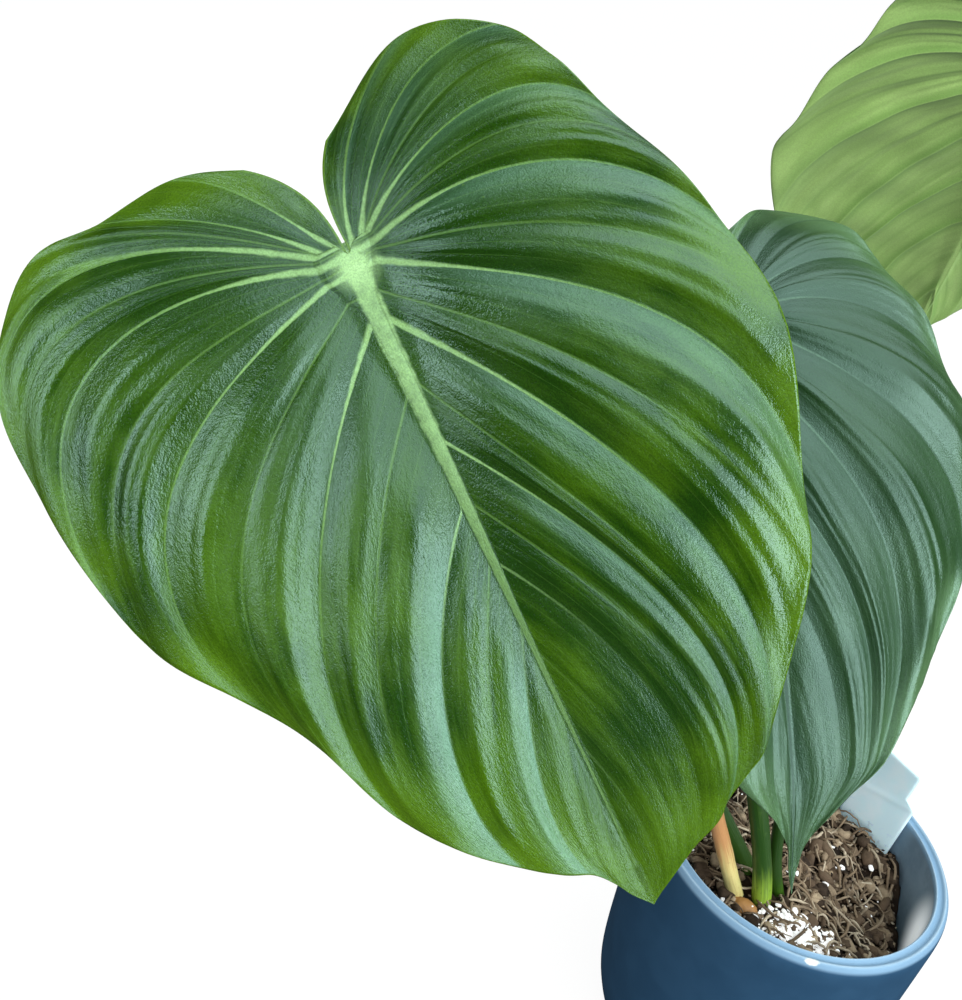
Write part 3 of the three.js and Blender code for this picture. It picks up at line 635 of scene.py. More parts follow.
class HalfBlade:
    """One half of a blade. places says how far apart the veins are for the smooth curves between them."""

    def __init__(self, veins):
        self.kinds = np.array([vein[0] for vein in veins])
        self.controls = np.array([vein[1:] for vein in veins], float)
        apart = np.linalg.norm(np.diff(self.controls, axis=0), axis=2)
        steps = np.sqrt(0.5 * apart[:, 3] + 0.5 * apart[:, 2])
        self.places = np.concatenate([[0], np.cumsum(steps)])
        span = np.diff(self.places)[:, None, None]
        rise = np.diff(self.controls, axis=0) / span
        inner = (rise[:-1] * span[1:] + rise[1:] * span[:-1]) / (span[:-1] + span[1:])
        self.slopes = np.concatenate([rise[:1], inner, rise[-1:]])

    def row_places(self):
        places = []
        for start, end in zip(self.places[:-1], self.places[1:]):
            places += [start + t * (end - start) for t in ROW_STEPS]
        return np.array(places + [self.places[-1]])

    def rows(self, q):
        """The four control points at each place in q."""
        k = step_below(self.places, q)
        span = self.places[k + 1] - self.places[k]
        t = ((q - self.places[k]) / span)[:, None, None]
        span = span[:, None, None]
        start = (2 * t**3 - 3 * t**2 + 1) * self.controls[k] + (t**3 - 2 * t**2 + t) * span * self.slopes[k]
        end = (3 * t**2 - 2 * t**3) * self.controls[k + 1] + (t**3 - t**2) * span * self.slopes[k + 1]
        return start + end

    def spans(self, q, s, direction):
        """Where each point lies: x from one main vein to the next, gap apart, and t from one
        vein of any kind to the next, step apart."""
        mains = np.flatnonzero(self.kinds != "side")
        k = step_below(self.places[mains], q)
        before, after = mains[k], mains[k + 1]
        width = self.places[after] - self.places[before]
        weights = bezier_weights(s)
        across = on_curves(weights, self.controls[after]) - on_curves(weights, self.controls[before])
        gap = np.abs(direction[..., 0] * across[..., 1] - direction[..., 1] * across[..., 0])
        row = step_below(self.places, q)
        part = (self.places[row + 1] - self.places[row]) / width
        return dict(
            x=((q - self.places[before]) / width)[:, None], gap=gap,
            t=((q - self.places[row]) / (self.places[row + 1] - self.places[row]))[:, None],
            step=gap * part[:, None], lone=(part > 0.99)[:, None],
            first=(self.kinds[before] != "edge")[:, None],
            last=(self.kinds[after] != "edge")[:, None],
            side_low=(self.kinds[row] == "side")[:, None],
            side_high=(self.kinds[row + 1] == "side")[:, None],
        )


def blade_height(leaf, u, v):
    flat = HUB_WIDTH / 2 * (1 - 0.8 * smooth((u - 12) / 60))
    away = np.maximum(0, np.abs(v) - flat)
    lift = leaf["fold"] * FOLD_REACH * (1 - np.exp(-away / FOLD_REACH))
    edges = leaf["droop"] * (away / DROOP_REACH) ** 2
    towards_tip = (u / (BLADE_LENGTH * leaf["length"])) ** 2
    towards_lobes = LOBE_BEND * (u / LOBE_REACH) ** 2
    return lift - edges - leaf["arch"] * np.where(u > 0, towards_tip, towards_lobes)


def ridge(x, rounding):
    """Rises evenly from one vein to a rounded crest and falls evenly to the next vein."""
    rise, fall = x / CREST, (1 - x) / (1 - CREST)
    blend = np.exp(-rise / rounding) + np.exp(-fall / rounding)
    return np.maximum(0, -rounding * np.log(blend))


def swelling(leaf, span, calm, uneven, s):
    """Height between the main veins, with its creases."""
    gap, step, t, lone = span["gap"], span["step"], span["t"], span["lone"]
    fade = smooth(s / 0.2) * (1 - 0.7 * smooth((s - 0.8) / 0.2))
    ribs = 0.03 * leaf["pleat"] * gap * np.sin(4 * np.pi * t) ** 2
    swell = (leaf["swell"] + LONE_SHARE * leaf["pleat"] * lone) * gap * ridge(span["x"], CREST_ROUNDING)
    pleat = leaf["pleat"] * step * ridge(t, FOLD_ROUNDING) * (1 - lone)
    return (swell + pleat - ribs) * calm * fade * uneven


def vein_distances(span):
    """How far each point is from the nearest main, side and fine vein, and from the notch."""
    gap, x, step, t = span["gap"], span["x"], span["step"], span["t"]
    from_first = np.where(span["first"], gap * x, NO_VEIN)
    from_last = np.where(span["last"], gap * (1 - x), NO_VEIN)
    from_low = np.where(span["side_low"], step * t, NO_VEIN)
    from_high = np.where(span["side_high"], step * (1 - t), NO_VEIN)
    fine = step * np.minimum(np.abs(t - 1 / 3), np.abs(t - 2 / 3))
    notch = np.where(span["first"], NO_VEIN, gap * x)
    return np.minimum(from_first, from_last), np.minimum(from_low, from_high), fine, notch


def painted_sheen_share(span, side, start, s):
    """Where the painted sheen lies: a pale bluish band along one flank of the veins that begin at start."""
    x = span["x"]
    if side:
        flank = np.where(span["first"], 0.5 * (1 - smooth(x / 0.36)), 0)
        where = 1 - smooth((start - 60) / 25)
    else:
        flank = np.where(span["last"], 1 - smooth(span["gap"] * (1 - x) / 8), 0)
        where = smooth((start - 30) / 30) * (1 - smooth((start - 112) / 20))
    return flank * where * smooth((s - 0.08) / 0.2)


def half_grid(leaf, half, side, s):
    """Points and looks of one half at every row and at each share s from the midrib to the edge."""
    q = half.row_places()
    rows = half.rows(q)
    flat = on_curves(bezier_weights(s), rows)
    direction = on_curves(bezier_slopes(s), rows)
    direction /= np.maximum(1e-6, np.linalg.norm(direction, axis=2, keepdims=True))
    span = half.spans(q, s, direction)
    start = rows[:, 0, 0][:, None]
    uneven = 1 + 0.2 * soft_waves(3 * q[:, None], 9 * s[None, :], leaf["seed"] + side, 4)
    calm_tip = 1 - CALM_TIP[side] * smooth((start - 60) / 40)
    main, side_vein, fine, notch = vein_distances(span)

    along = np.clip(flat[..., 0] / BLADE_LENGTH, 0, 1)
    u = flat[..., 0] * leaf["length"]
    tapered = 1 - leaf["taper"] * smooth((along - leaf["taper_from"]) / (1 - leaf["taper_from"]))
    pointed = 1 - leaf["point"] * smooth((along - 0.8) / 0.15)
    outwards = 1 if side else -1
    turned = leaf["hook"] * smooth((along - 0.82) / 0.18)
    v = flat[..., 1] * outwards * leaf["width"] * tapered * pointed + turned

    ripple = 2 * np.pi * (q[:, None] / RIPPLE_LENGTH + leaf["phase"] + 0.3 * side)
    calm = 1 - smooth((along - 0.8) / 0.2)
    flutter = leaf["wave"] * s[None, :] ** 4 * np.sin(ripple) * calm
    lumps = leaf["lumps"] * soft_waves(u, v, leaf["seed"] + 5, LUMP_LENGTH)
    lumps = lumps * smooth(s / 0.3)[None, :] * calm
    folds = swelling(leaf, span, calm_tip, uneven, s)
    w = blade_height(leaf, u, v - turned) + folds + flutter + lumps

    rim = on_curves(bezier_weights(np.array([1.0])), rows)
    length = np.linalg.norm(np.diff(flat, axis=1), axis=2).sum(1)[:, None]
    number = np.arange(len(q))[:, None] / len(ROW_STEPS)
    return dict(
        u=u, v=v, w=w, along=along, share=np.broadcast_to(s[None, :], u.shape),
        main=main, side=side_vein, fine=fine,
        edge=np.minimum(0.85 * np.linalg.norm(rim - flat, axis=2), notch),
        painted_sheen=painted_sheen_share(span, side, start, s) * uneven,
        across=np.broadcast_to(number * 7 + 200 * side, u.shape), run=length * s[None, :],
    )


def middle_grid(leaf, left, right):
    """The strip of the midrib and the hub, between the inner ends of the two halves."""
    t = (np.arange(1, MIDRIB_COLUMNS + 1) / (MIDRIB_COLUMNS + 1))[None, :]
    made = {}
    for key in left:
        a = left[key][:, -1:]
        b = right[key][:, :1]
        made[key] = a + (b - a) * t
    made["across"] = 400 + made["v"]
    made["run"] = made["u"] * 1.0
    bulge = np.sin(np.pi * t)
    rib = 0.5 * (1 - smooth((made["along"] - 0.15) / 0.5)) * bulge * smooth((made["u"] - 2) / 12)
    made["w"] = blade_height(leaf, made["u"], made["v"] * 0) + rib
    return made


def blade_grid(leaf):
    """The whole blade: the left half from its edge inwards, the midrib, and the right half."""
    s = np.arange(HALF_COLUMNS + 1) / HALF_COLUMNS
    left = half_grid(leaf, HalfBlade(LEFT_VEINS), 0, s)
    left = {key: values[:, ::-1] for key, values in left.items()}
    right = half_grid(leaf, HalfBlade(RIGHT_VEINS), 1, s)
    middle = middle_grid(leaf, left, right)
    return {key: np.concatenate([left[key], middle[key], right[key]], axis=1) for key in left}


def blade_thickness(grid):
    """Thin at the edge, thicker along the midrib and under the main veins."""
    rib = RIB_THICKNESS * (1 - 0.8 * grid["along"]) * (1 - smooth(grid["share"] / 0.14))
    cord = 0.75 * (1 - 0.75 * grid["share"]) * np.exp(-((grid["main"] / 0.9) ** 2))
    thin = 0.55 + 0.45 * smooth(grid["edge"] / 3)
    return BLADE_THICKNESS * thin + rib + cord


def blade_faces(rows, columns):
    """Faces of a closed blade whose underside follows its upper side, and the material of each."""
    count = rows * columns
    index = np.arange(count).reshape(rows, columns)
    corners = [index[:-1, :-1], index[1:, :-1], index[1:, 1:], index[:-1, 1:]]
    top = np.stack(corners, axis=-1).reshape(-1, 4)
    bottom = top[:, ::-1] + count
    border = np.concatenate([index[:, 0], index[::-1, -1], index[0, -2:0:-1]])
    following = np.roll(border, -1)
    wall = np.stack([border, border + count, following + count, following], axis=1)
    # The last row runs along the midrib from both sides, so it is closed like a zip.
    last = index[-1].tolist()
    zip_top = [[last[-1 - i], last[-2 - i], last[i + 1], last[i]] for i in range(columns // 2 - 1)][::-1]
    zip_bottom = [[k + count for k in quad[::-1]] for quad in zip_top]
    faces = top.tolist() + bottom.tolist() + wall.tolist() + zip_top + zip_bottom
    picks = np.repeat([0, 1, 0, 1], [len(top), len(bottom), len(wall) + len(zip_top), len(zip_top)])
    return faces, picks


def blade_looks(leaf, grid):
    """The vectors that the leaf's materials read."""
    u, v, along = grid["u"], grid["v"], grid["along"]
    half_width = MIDRIB_HALF_WIDTH * (1 - along) ** 1.9 + 0.2
    inside = np.abs(v - leaf["hook"] * smooth((along - 0.82) / 0.18)) / half_width
    inside = inside + 3 * smooth((-2 - u) / 6)
    vectors = {
        "veins": (grid["main"], grid["side"], grid["fine"]),
        "place": (grid["share"], grid["painted_sheen"], grid["edge"]),
        "flow": (grid["across"], grid["run"], 0 * u),
        "midrib": (inside, np.hypot(u, v) / HUB_RADIUS, along),
    }
    stacked = {key: np.stack(values, axis=-1).reshape(-1, 3) for key, values in vectors.items()}
    return {key: np.tile(values, (2, 1)) for key, values in stacked.items()}


def leaf_axes(leaf):
    tip = Vector(leaf["tip"]).normalized()
    face = Vector(leaf["face"])
    return tip, (face - tip * face.dot(tip)).normalized()


def make_leaf(name, leaf):
    tip, face = leaf_axes(leaf)
    tip, right, face = np.array(tip), np.array(face.cross(tip)), np.array(face)
    grid = blade_grid(leaf)
    u, v, w = grid["u"], grid["v"], grid["w"]
    upper = np.array(leaf["hub"], float) + u[..., None] * tip + v[..., None] * right + w[..., None] * face
    lower = upper - blade_thickness(grid)[..., None] * face
    points = np.concatenate([upper.reshape(-1, 3), lower.reshape(-1, 3)])
    faces, picks = blade_faces(*u.shape)
    materials = [leaf_upper_look(name + "_upper", leaf), leaf_under_look(name + "_under", leaf)]
    make_piece(name + "_blade", points, faces, materials, [name], blade_looks(leaf, grid), picks)


# Stalks

def stalk_controls(stalk):
    foot, lower = Vector(stalk["foot"]), Vector(stalk["lower"])
    if "leaf" not in stalk:
        return foot, lower, Vector(stalk["upper"]), Vector(stalk["end"])
    leaf = LEAVES[stalk["leaf"]]
    _, face = leaf_axes(leaf)
    end = Vector(leaf["hub"]) - face * (SOLID_BLADE + SOLID_RIB + SEAT_GAP)
    upper = end - face * stalk["reach"] + Vector(stalk["bow"])
    slant = (end - upper).angle(face)
    end = end - face * SLANT_SHARE * (stalk["radii"][1] + STALK_SWELLING) * math.sin(slant)
    return foot, lower, upper, end


def tube_grid(path, radius_at, sides, flat_side=0.0):
    """Rings round a path. flat_side presses a shallow channel into one side of the tube."""
    rings, looks = [], []
    run = 0
    for i, centre in enumerate(path):
        ahead = (path[min(i + 1, len(path) - 1)] - path[max(i - 1, 0)]).normalized()
        side = Vector((0, 1, 0)).cross(ahead).normalized()
        front = ahead.cross(side)
        if i:
            run += (centre - path[i - 1]).length
        radius = radius_at(i / (len(path) - 1))
        for k in range(sides):
            angle = 2 * math.pi * k / sides
            channel = 1 - flat_side * math.exp(-(((angle - math.pi) / 0.5) ** 2))
            reach = radius * channel
            rings.append(centre + side * reach * math.cos(angle) + front * reach * math.sin(angle))
            looks.append((radius * min(angle, 2 * math.pi - angle), run, 0))
    return rings, looks


def tube_faces(rings, sides):
    foot = list(range(sides))[::-1]
    end = [(rings - 1) * sides + k for k in range(sides)]
    return ring_faces(rings, sides) + [foot, end]


def cubic(controls, t):
    r = 1 - t
    a, b, c, d = controls
    return a * r**3 + b * 3 * t * r**2 + c * 3 * t**2 * r + d * t**3


def make_stalk(name, stalk, material, steps=150, sides=28):
    controls = stalk_controls(stalk)
    path = [cubic(controls, i / steps) for i in range(steps + 1)]
    low, high = stalk["radii"]
    swell = STALK_SWELLING if "leaf" in stalk else 0
    draw = stalk["foot"][0]

    def radius_at(t):
        lumps = 1 + 0.02 * math.sin(23 * t + draw) + 0.012 * math.sin(61 * t + 2 * draw)
        return (low + (high - low) * t) * lumps + swell * math.exp(-(((1 - t) / 0.05) ** 2))

    rings, looks = tube_grid(path, radius_at, sides, 0.08)
    points = np.array([tuple(p) for p in rings])
    make_piece(name + "_stalk", points, tube_faces(len(path), sides), [material],
               [name], {"flow": looks})


def make_stump(material, steps=40, sides=28):
    start, end = Vector(STUMP["start"]), Vector(STUMP["end"])
    path = [start + (end - start) * i / steps for i in range(steps + 1)]

    def radius_at(t):
        return STUMP["radius"] * (0.35 + 0.65 * math.sin(math.pi * min(0.97, max(0.03, t))) ** 0.5)

    def push(p):
        return 0.35 * Vector([noise.noise(p * 0.6 + shift) for shift in STUMP_SHIFTS])

    rings, looks = tube_grid(path, radius_at, sides)
    points = np.array([tuple(p + push(p)) for p in rings])
    make_piece("old_stem_stump", points, tube_faces(len(path), sides), [material],
               (), {"flow": looks})


# Pot

def pot_inner_radius(z):
    part = min(1, max(0, (z - POT_FLOOR) / (POT_HEIGHT - POT_LIP_DEPTH - POT_FLOOR)))
    return POT_FLOOR_RADIUS + (POT_MOUTH_RADIUS - POT_FLOOR_RADIUS) * part**POT_WALL_CURVE


def curve_through(points, steps):
    """A smooth line through points, with steps new points from each to the next."""
    made = []
    for i in range(len(points) - 1):
        p0, p1 = points[max(i - 1, 0)], points[i]
        p2, p3 = points[i + 1], points[min(i + 2, len(points) - 1)]
        for k in range(steps):
            t = k / steps
            made.append(tuple(
                0.5 * (2 * b + (c - a) * t + (2 * a - 5 * b + 4 * c - d) * t**2
                       + (3 * b - a - 3 * c + d) * t**3)
                for a, b, c, d in zip(p0, p1, p2, p3)))
    made.append(points[-1])
    return made


def pot_profile():
    """The pot's outline from foot to floor, as radius and height, and where its inner wall starts."""
    rim = POT_RIM_RADIUS
    mouth = POT_MOUTH_RADIUS
    top = POT_HEIGHT
    outside = curve_through([
        (POT_FOOT_RADIUS - 2, 0), (POT_FOOT_RADIUS + 1.5, 1.2), (POT_FOOT_RADIUS + 6, 6),
        (POT_FOOT_RADIUS + 10, 15), (POT_FOOT_RADIUS + 13.2, 29), (65.2, 58), (65.9, 88),
        (POT_BELLY_RADIUS, 118), (POT_BELLY_RADIUS, 131), (rim + 0.7, 135.4),
        (rim - 0.2, top - 0.8),
    ], 6)
    lip = curve_through([
        (rim - 0.2, top - 0.8), (rim - 0.7, top - 0.2), (rim - 1.3, top), (rim - 1.9, top - 0.25),
        (rim - 2.6, top - 0.75), (rim - 3.4, top - 0.8), (mouth + 1.2, top - 0.45),
        (mouth + 0.6, top - 0.2), (mouth + 0.2, top - 0.5), (mouth, top - 1.4),
    ], 4)
    inside = curve_through([
        (mouth, top - 1.4), *[(pot_inner_radius(z), z) for z in (132, 120, 100, 80, 60, 28, 12)],
        (POT_FLOOR_RADIUS, POT_FLOOR),
    ], 4)
    wall = [*outside[:-1], *lip[:-1]]
    return wall + inside, len(wall)


def lip_ridge_highlights(radius, z):
    """How much painted highlight lies along the two ridges of the lip at a place of the profile."""
    outer = math.exp(-(((radius - POT_RIM_RADIUS + 1.3) / 0.5) ** 2))
    inner = math.exp(-(((radius - POT_MOUTH_RADIUS - 0.5) / 0.4) ** 2))
    return outer + 0.8 * inner if z > POT_HEIGHT - 1.5 else 0


def make_pot():
    profile, inner_from = pot_profile()
    points = [(0, 0, 0)]
    looks = [(0, 0, 0)]
    for i, (radius, z) in enumerate(profile):
        for k in range(POT_SEGMENTS):
            angle = 2 * math.pi * k / POT_SEGMENTS
            uneven = radius * (1 + 0.0012 * math.sin(2 * angle + 0.7))
            points.append((uneven * math.cos(angle), uneven * math.sin(angle), z))
            looks.append((int(i >= inner_from), z, lip_ridge_highlights(radius, z)))
    points.append((0, 0, POT_FLOOR))
    looks.append((1, POT_FLOOR, 0))
    faces = spun_faces(len(profile), POT_SEGMENTS)
    make_piece("pot_body", points, faces, [pot_look()], ["pot"], {"zone": looks})


# Soil

def soil_height(x, y):
    mound = 7 * math.exp(-((x + 12) ** 2 + (y + 14) ** 2) / 1500)
    dip = max(0, x / 58) * (-3 + 11 * math.tanh((y - 4) / 9))
    lumps = 0.9 * math.sin(x / 5.3 + 1.1) * math.cos(y / 4.7) + 0.6 * math.sin((x + y) / 3.1)
    return SOIL_LEVEL + mound + dip + lumps


def make_soil_bed():
    sides, rings = 180, 60
    points = [(0, 0, soil_height(0, 0))]
    tones = [0.2]
    for i in range(1, rings + 1):
        radius = SOIL_RADIUS * i / rings
        for k in range(sides):
            angle = 2 * math.pi * k / sides
            x, y = radius * math.cos(angle), radius * math.sin(angle)
            rough = 2.2 * noise.noise(Vector((x, y, 3)) * 0.28) + 1.1 * noise.noise(Vector((x, y, 9)) * 0.8)
            points.append((x, y, soil_height(x, y) - 1.4 + rough))
            tones.append(0.25 + 0.3 * noise.noise(Vector((x, y, 5)) * 0.5))
    for z in SOIL_WALL_LEVELS:
        radius = pot_inner_radius(z) - SOIL_WALL_GAP
        for k in range(sides):
            angle = 2 * math.pi * k / sides
            points.append((radius * math.cos(angle), radius * math.sin(angle), z))
    points.append((0, 0, SOIL_WALL_LEVELS[-1]))
    tones += [0.2] * (len(points) - len(tones))
    # The rings run downwards here, so each face is turned round.
    faces = [face[:1] + face[:0:-1] for face in spun_faces(rings + len(SOIL_WALL_LEVELS), sides)]
    look = soil_look("soil_crumb", (0.010, 0.006, 0.004), (0.045, 0.026, 0.015), (0.12, 0.08, 0.05))
    attributes = {"tone": [(tone, 0, 0) for tone in tones]}
    make_piece("soil_bed", points, faces, [look], ["soil"], attributes)


def ball_template(level):
    bpy.ops.mesh.primitive_ico_sphere_add(subdivisions=level, radius=1)
    ball = bpy.context.object
    points = np.array([v.co for v in ball.data.vertices])
    faces = np.array([list(p.vertices) for p in ball.data.polygons])
    bpy.data.objects.remove(ball)
    return points, faces


def free_spot(draw, margin):
    """A random spot on the soil, clear of the stalks and of the label."""
    while True:
        radius = (SOIL_RADIUS - 1.5 - margin) * math.sqrt(draw.random())
        angle = draw.uniform(0, 2 * math.pi)
        x, y = radius * math.cos(angle), radius * math.sin(angle)
        if any(math.hypot(x - a, y - b) < c * 0.55 + margin for a, b, c in STALK_FEET):
            continue
        along = (x - LABEL_FOOT[0]) * LABEL_ALONG[0] + (y - LABEL_FOOT[1]) * LABEL_ALONG[1]
        beside = (x - LABEL_FOOT[0]) * LABEL_ALONG[1] - (y - LABEL_FOOT[1]) * LABEL_ALONG[0]
        if -2 < along < LABEL_WIDTH + 2 and abs(beside) < margin + 1:
            continue
        return x, y


def scatter(name, count, seed, template, sizes, tones, look, lift, angular=0.35, spot=free_spot):
    """Many uneven bits on the soil, joined in one piece. sizes is (least, most) for length, and
    the width and height follow from it."""
    draw = random.Random(seed)
    shape, faces = template
    all_points, all_faces, all_tones = [], [], []
    for i in range(count):
        length = sizes[0] + (sizes[1] - sizes[0]) * draw.random() ** 2
        size = np.array([length, length * draw.uniform(0.35, 0.8), length * draw.uniform(0.25, 0.6)]) / 2
        x, y = spot(draw, 0.4 * length)
        bit = shape.copy()
        offset = Vector((draw.uniform(0, 99), draw.uniform(0, 99), draw.uniform(0, 99)))
        for j, p in enumerate(bit):
            bit[j] = p * (1 + angular * noise.noise(Vector(p) * 1.7 + offset))
        bit = np.sign(bit) * np.abs(bit) ** 0.75 * size
        turn = Matrix.Rotation(draw.uniform(0, 2 * math.pi), 3, "Z")
        turn = turn @ Matrix.Rotation(draw.gauss(0, 0.35), 3, "X")
        turn = turn @ Matrix.Rotation(draw.gauss(0, 0.35), 3, "Y")
        bit = bit @ np.array(turn).T
        z = soil_height(x, y) + lift + size[2] * draw.uniform(-0.4, 0.8)
        tone = draw.uniform(*tones)
        all_faces.append(faces + len(shape) * i)
        all_points.append(bit + (x, y, z))
        all_tones += [(tone, 0, 0)] * len(shape)
    return make_piece(name, np.concatenate(all_points), np.concatenate(all_faces).tolist(),
                      [look], (), {"tone": all_tones})


def make_fibres(name, count, seed, look):
    """Bent strands of coir and moss that lie over the bark, joined in one piece."""
    draw = random.Random(seed)
    points, faces, tones = [], [], []
    steps, sides = 9, 5
    for _ in range(count):
        x, y = free_spot(draw, 4)
        length = draw.uniform(6, 20)
        radius = draw.uniform(0.22, 0.75)
        heading = draw.uniform(0, 2 * math.pi)
        bend = draw.gauss(0, 1.3)
        path = []
        for i in range(steps + 1):
            path.append(Vector((x, y, 0)))
            heading += bend / steps
            x += math.cos(heading) * length / steps
            y += math.sin(heading) * length / steps
        if max(math.hypot(p.x, p.y) for p in path) > SOIL_RADIUS - 1.5:
            continue
        rise = draw.uniform(1.0, 4.0)
        for i, p in enumerate(path):
            p.z = soil_height(p.x, p.y) + 0.8 + rise * math.sin(math.pi * i / steps) + draw.gauss(0, 0.25)
        tone = draw.uniform(0.2, 1)

        def radius_at(t):
            return radius * (0.35 + 0.65 * math.sin(math.pi * (0.1 + 0.8 * t)))

        rings, _ = tube_grid(path, radius_at, sides)
        first = len(points)
        points += [tuple(p) for p in rings]
        tones += [(tone, 0, 0)] * len(rings)
        faces += [[k + first for k in face] for face in tube_faces(steps + 1, sides)]
    make_piece(name, points, faces, [look], (), {"tone": tones})


def pale_spot(draw, margin):
    """Most of the pale grains lie together near the front of the pot."""
    if draw.random() < 0.12:
        return free_spot(draw, margin)
    while True:
        x = PALE_PATCH[0] + draw.gauss(0, 8)
        y = PALE_PATCH[1] + draw.gauss(0, 4.5)
        if math.hypot(x, y) < SOIL_RADIUS - 3 - margin:
            return x, y


def make_soil():
    make_soil_bed()
    bark = soil_look("bark_chips", (0.012, 0.007, 0.005), (0.12, 0.078, 0.050), (0.44, 0.33, 0.22))
    crumb = soil_look("bark_crumbs", (0.010, 0.006, 0.004), (0.14, 0.10, 0.072), (0.50, 0.41, 0.31))
    coir = soil_look("coir_fibre", (0.05, 0.028, 0.015), (0.24, 0.17, 0.11), (0.56, 0.46, 0.34), 0.9, 0.15)
    # The pale grains glow a little: painted light for a sunlit spot on the soil.
    grain = soil_look("pale_grains", (0.5, 0.48, 0.47), (0.8, 0.79, 0.78), (0.93, 0.93, 0.92), 0.8, 0.2, 0.36)
    scatter("bark_chips", CHIPS, 5, ball_template(2), (3, 9.5), (0, 1), bark, 0.2)
    scatter("bark_crumbs", CRUMBS, 6, ball_template(1), (0.8, 3), (0, 1), crumb, 1.2)
    scatter("pale_grains", GRAINS, 7, ball_template(2), (1, 3.4), (0.2, 1), grain, 2.2, 0.3, pale_spot)
    make_fibres("coir_fibres", FIBRES, 8, coir)


# Label

def make_label():
    """A thin plate with rounded edges and a soft crease below its shoulder."""
    base = soil_height(*LABEL_FOOT) - LABEL_SLOT
    along = Vector((*LABEL_ALONG, 0)).normalized()
    outward = Vector((along.y, -along.x, 0))
    rise = (Vector((0, 0, 1)) + outward * LABEL_LEAN).normalized()
    facing = along.cross(rise)
    tall = LABEL_SLOT + LABEL_HEIGHT
    shoulder = LABEL_SLOT + LABEL_SHOULDER
    rows, columns = 56, 24

    def left_at(y):
        if y < LABEL_SLOT - 2:
            return LABEL_POINT * (1 - y / (LABEL_SLOT - 2))
        return 0 if y < shoulder else min(LABEL_STEP, (y - shoulder) * 3.5)

    def right_at(y):
        return LABEL_WIDTH - (left_at(y) if y < LABEL_SLOT - 2 else 0)

    points, looks = [], []
    for back in (0, 1):
        for j in range(rows + 1):
            y = tall * j / rows
            left, right = left_at(y), right_at(y)
            for i in range(columns + 1):
                x = left + (right - left) * i / columns
                crease = 0.45 * math.exp(-(((y - shoulder + 0.35 * x) / 1.6) ** 2))
                rounding = 0.28 if i in (0, columns) or j in (0, rows) else 0
                depth = (0.5 * LABEL_THICKNESS - rounding) * (1 if back else -1) - crease
                p = along * x + rise * y + facing * depth
                points.append((LABEL_FOOT[0] + p.x, LABEL_FOOT[1] + p.y, base + p.z))
                looks.append((x, y - LABEL_SLOT, 0))
    layer = (rows + 1) * (columns + 1)
    index = np.arange(layer).reshape(rows + 1, columns + 1)
    a, b, c, d = index[:-1, :-1], index[:-1, 1:], index[1:, 1:], index[1:, :-1]
    front = np.stack([a, b, c, d], axis=-1).reshape(-1, 4)
    border = np.concatenate([index[0, :-1], index[:-1, -1], index[-1, :0:-1], index[:0:-1, 0]])
    following = np.roll(border, -1)
    wall = np.stack([border, border + layer, following + layer, following], axis=1)
    faces = (front + layer).tolist() + front[:, ::-1].tolist() + wall[:, ::-1].tolist()
    make_piece("label_plate", points, faces, [label_look()], ["plant_label"],
               {"flow": looks})


# Stage

def make_backdrop(name, look_name, base, glow):
    """Dresses the newest object as a plain white surface that only the camera sees."""
    backdrop = bpy.context.object
    backdrop.name = name
    look = Look(look_name, base_color=(base, base, base), roughness=1, specular_ior_level=0,
                emission_color=(1, 1, 1), emission_strength=glow)
    look.material.cycles.emission_sampling = "NONE"
    backdrop.data.materials.append(look.material)
    backdrop.visible_diffuse = False
    backdrop.visible_glossy = False
    backdrop.visible_transmission = False
    backdrop.visible_shadow = False


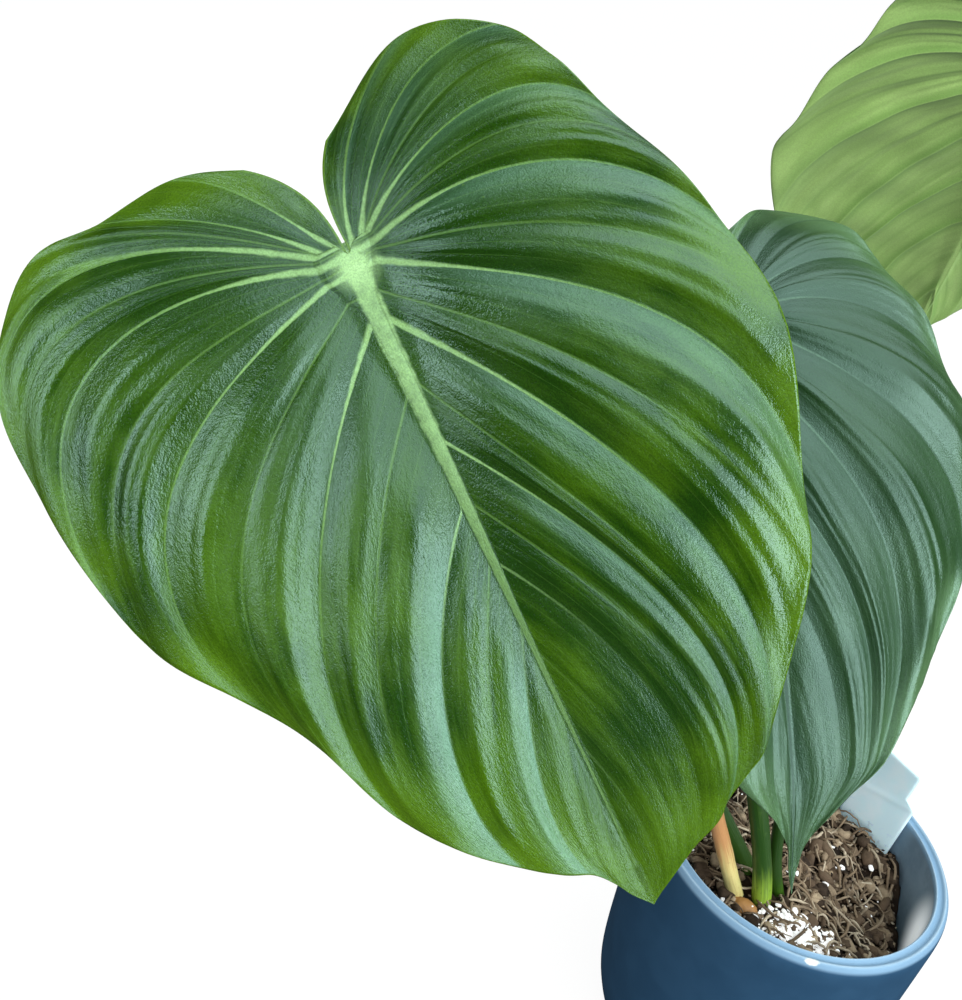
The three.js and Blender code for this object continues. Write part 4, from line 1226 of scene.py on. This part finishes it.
def make_sky():
    """A room that is bright towards SKY_SIDE, so above and on the right, and dim elsewhere."""
    world = bpy.data.worlds.new("studio")
    bpy.context.scene.world = world
    world.use_nodes = True
    tree = world.node_tree
    heading = tree.nodes.new("ShaderNodeTexCoord").outputs["Generated"]
    towards = tree.nodes.new("ShaderNodeVectorMath")
    towards.operation = "DOT_PRODUCT"
    towards.inputs[1].default_value = SKY_SIDE
    tree.links.new(heading, towards.inputs[0])
    level = tree.nodes.new("ShaderNodeMapRange")
    level.interpolation_type = "SMOOTHSTEP"
    for key, value in SKY_LEVELS.items():
        level.inputs[key].default_value = value
    tree.links.new(towards.outputs["Value"], level.inputs["Value"])
    background = tree.nodes["Background"]
    background.inputs["Color"].default_value = SKY_COLOUR
    tree.links.new(level.outputs[0], background.inputs["Strength"])


def add_light(name, place, target, size, power, colour, glossy):
    data = bpy.data.lights.new(name, "AREA")
    data.shape = "RECTANGLE"
    data.size, data.size_y = size
    data.energy = power
    data.color = colour
    light = bpy.data.objects.new(name, data)
    bpy.context.scene.collection.objects.link(light)
    light.location = place
    light.rotation_euler = (Vector(target) - Vector(place)).to_track_quat("-Z", "Y").to_euler()
    light.visible_glossy = glossy


def make_stage():
    bpy.ops.mesh.primitive_plane_add(size=60, location=(0, 0, 0))
    make_backdrop("floor", "floor_white", 0.1, 0.92)
    bpy.ops.mesh.primitive_uv_sphere_add(segments=64, ring_count=32, radius=28, location=(0, 0, 0))
    make_backdrop("white_wall", "wall_white", 0, 1)
    make_sky()
    for lamp in LAMPS:
        add_light(*lamp)
    bpy.context.scene.view_settings.view_transform = "Standard"


def make_camera():
    data = bpy.data.cameras.new("camera")
    data.lens = LENS
    data.sensor_width = SENSOR
    data.clip_start = 0.01
    data.clip_end = 100
    camera = bpy.data.objects.new("camera", data)
    bpy.context.scene.collection.objects.link(camera)
    axes = Matrix((CAMERA_RIGHT, CAMERA_UP, CAMERA_BACK)).transposed()
    camera.matrix_world = Matrix.Translation(Vector(CAMERA_PLACE) * MM) @ axes.to_4x4()
    bpy.context.scene.camera = camera


make_camera()
make_stage()
make_pot()
make_soil()
for leaf_name, leaf_facts in LEAVES.items():
    make_leaf(leaf_name, leaf_facts)
for stalk_name, stalk_facts in STALKS.items():
    make_stalk(stalk_name, stalk_facts, stalk_look(*STALK_LOOKS[stalk_name]))
make_stump(stalk_look(*STUMP_LOOK))
make_label()
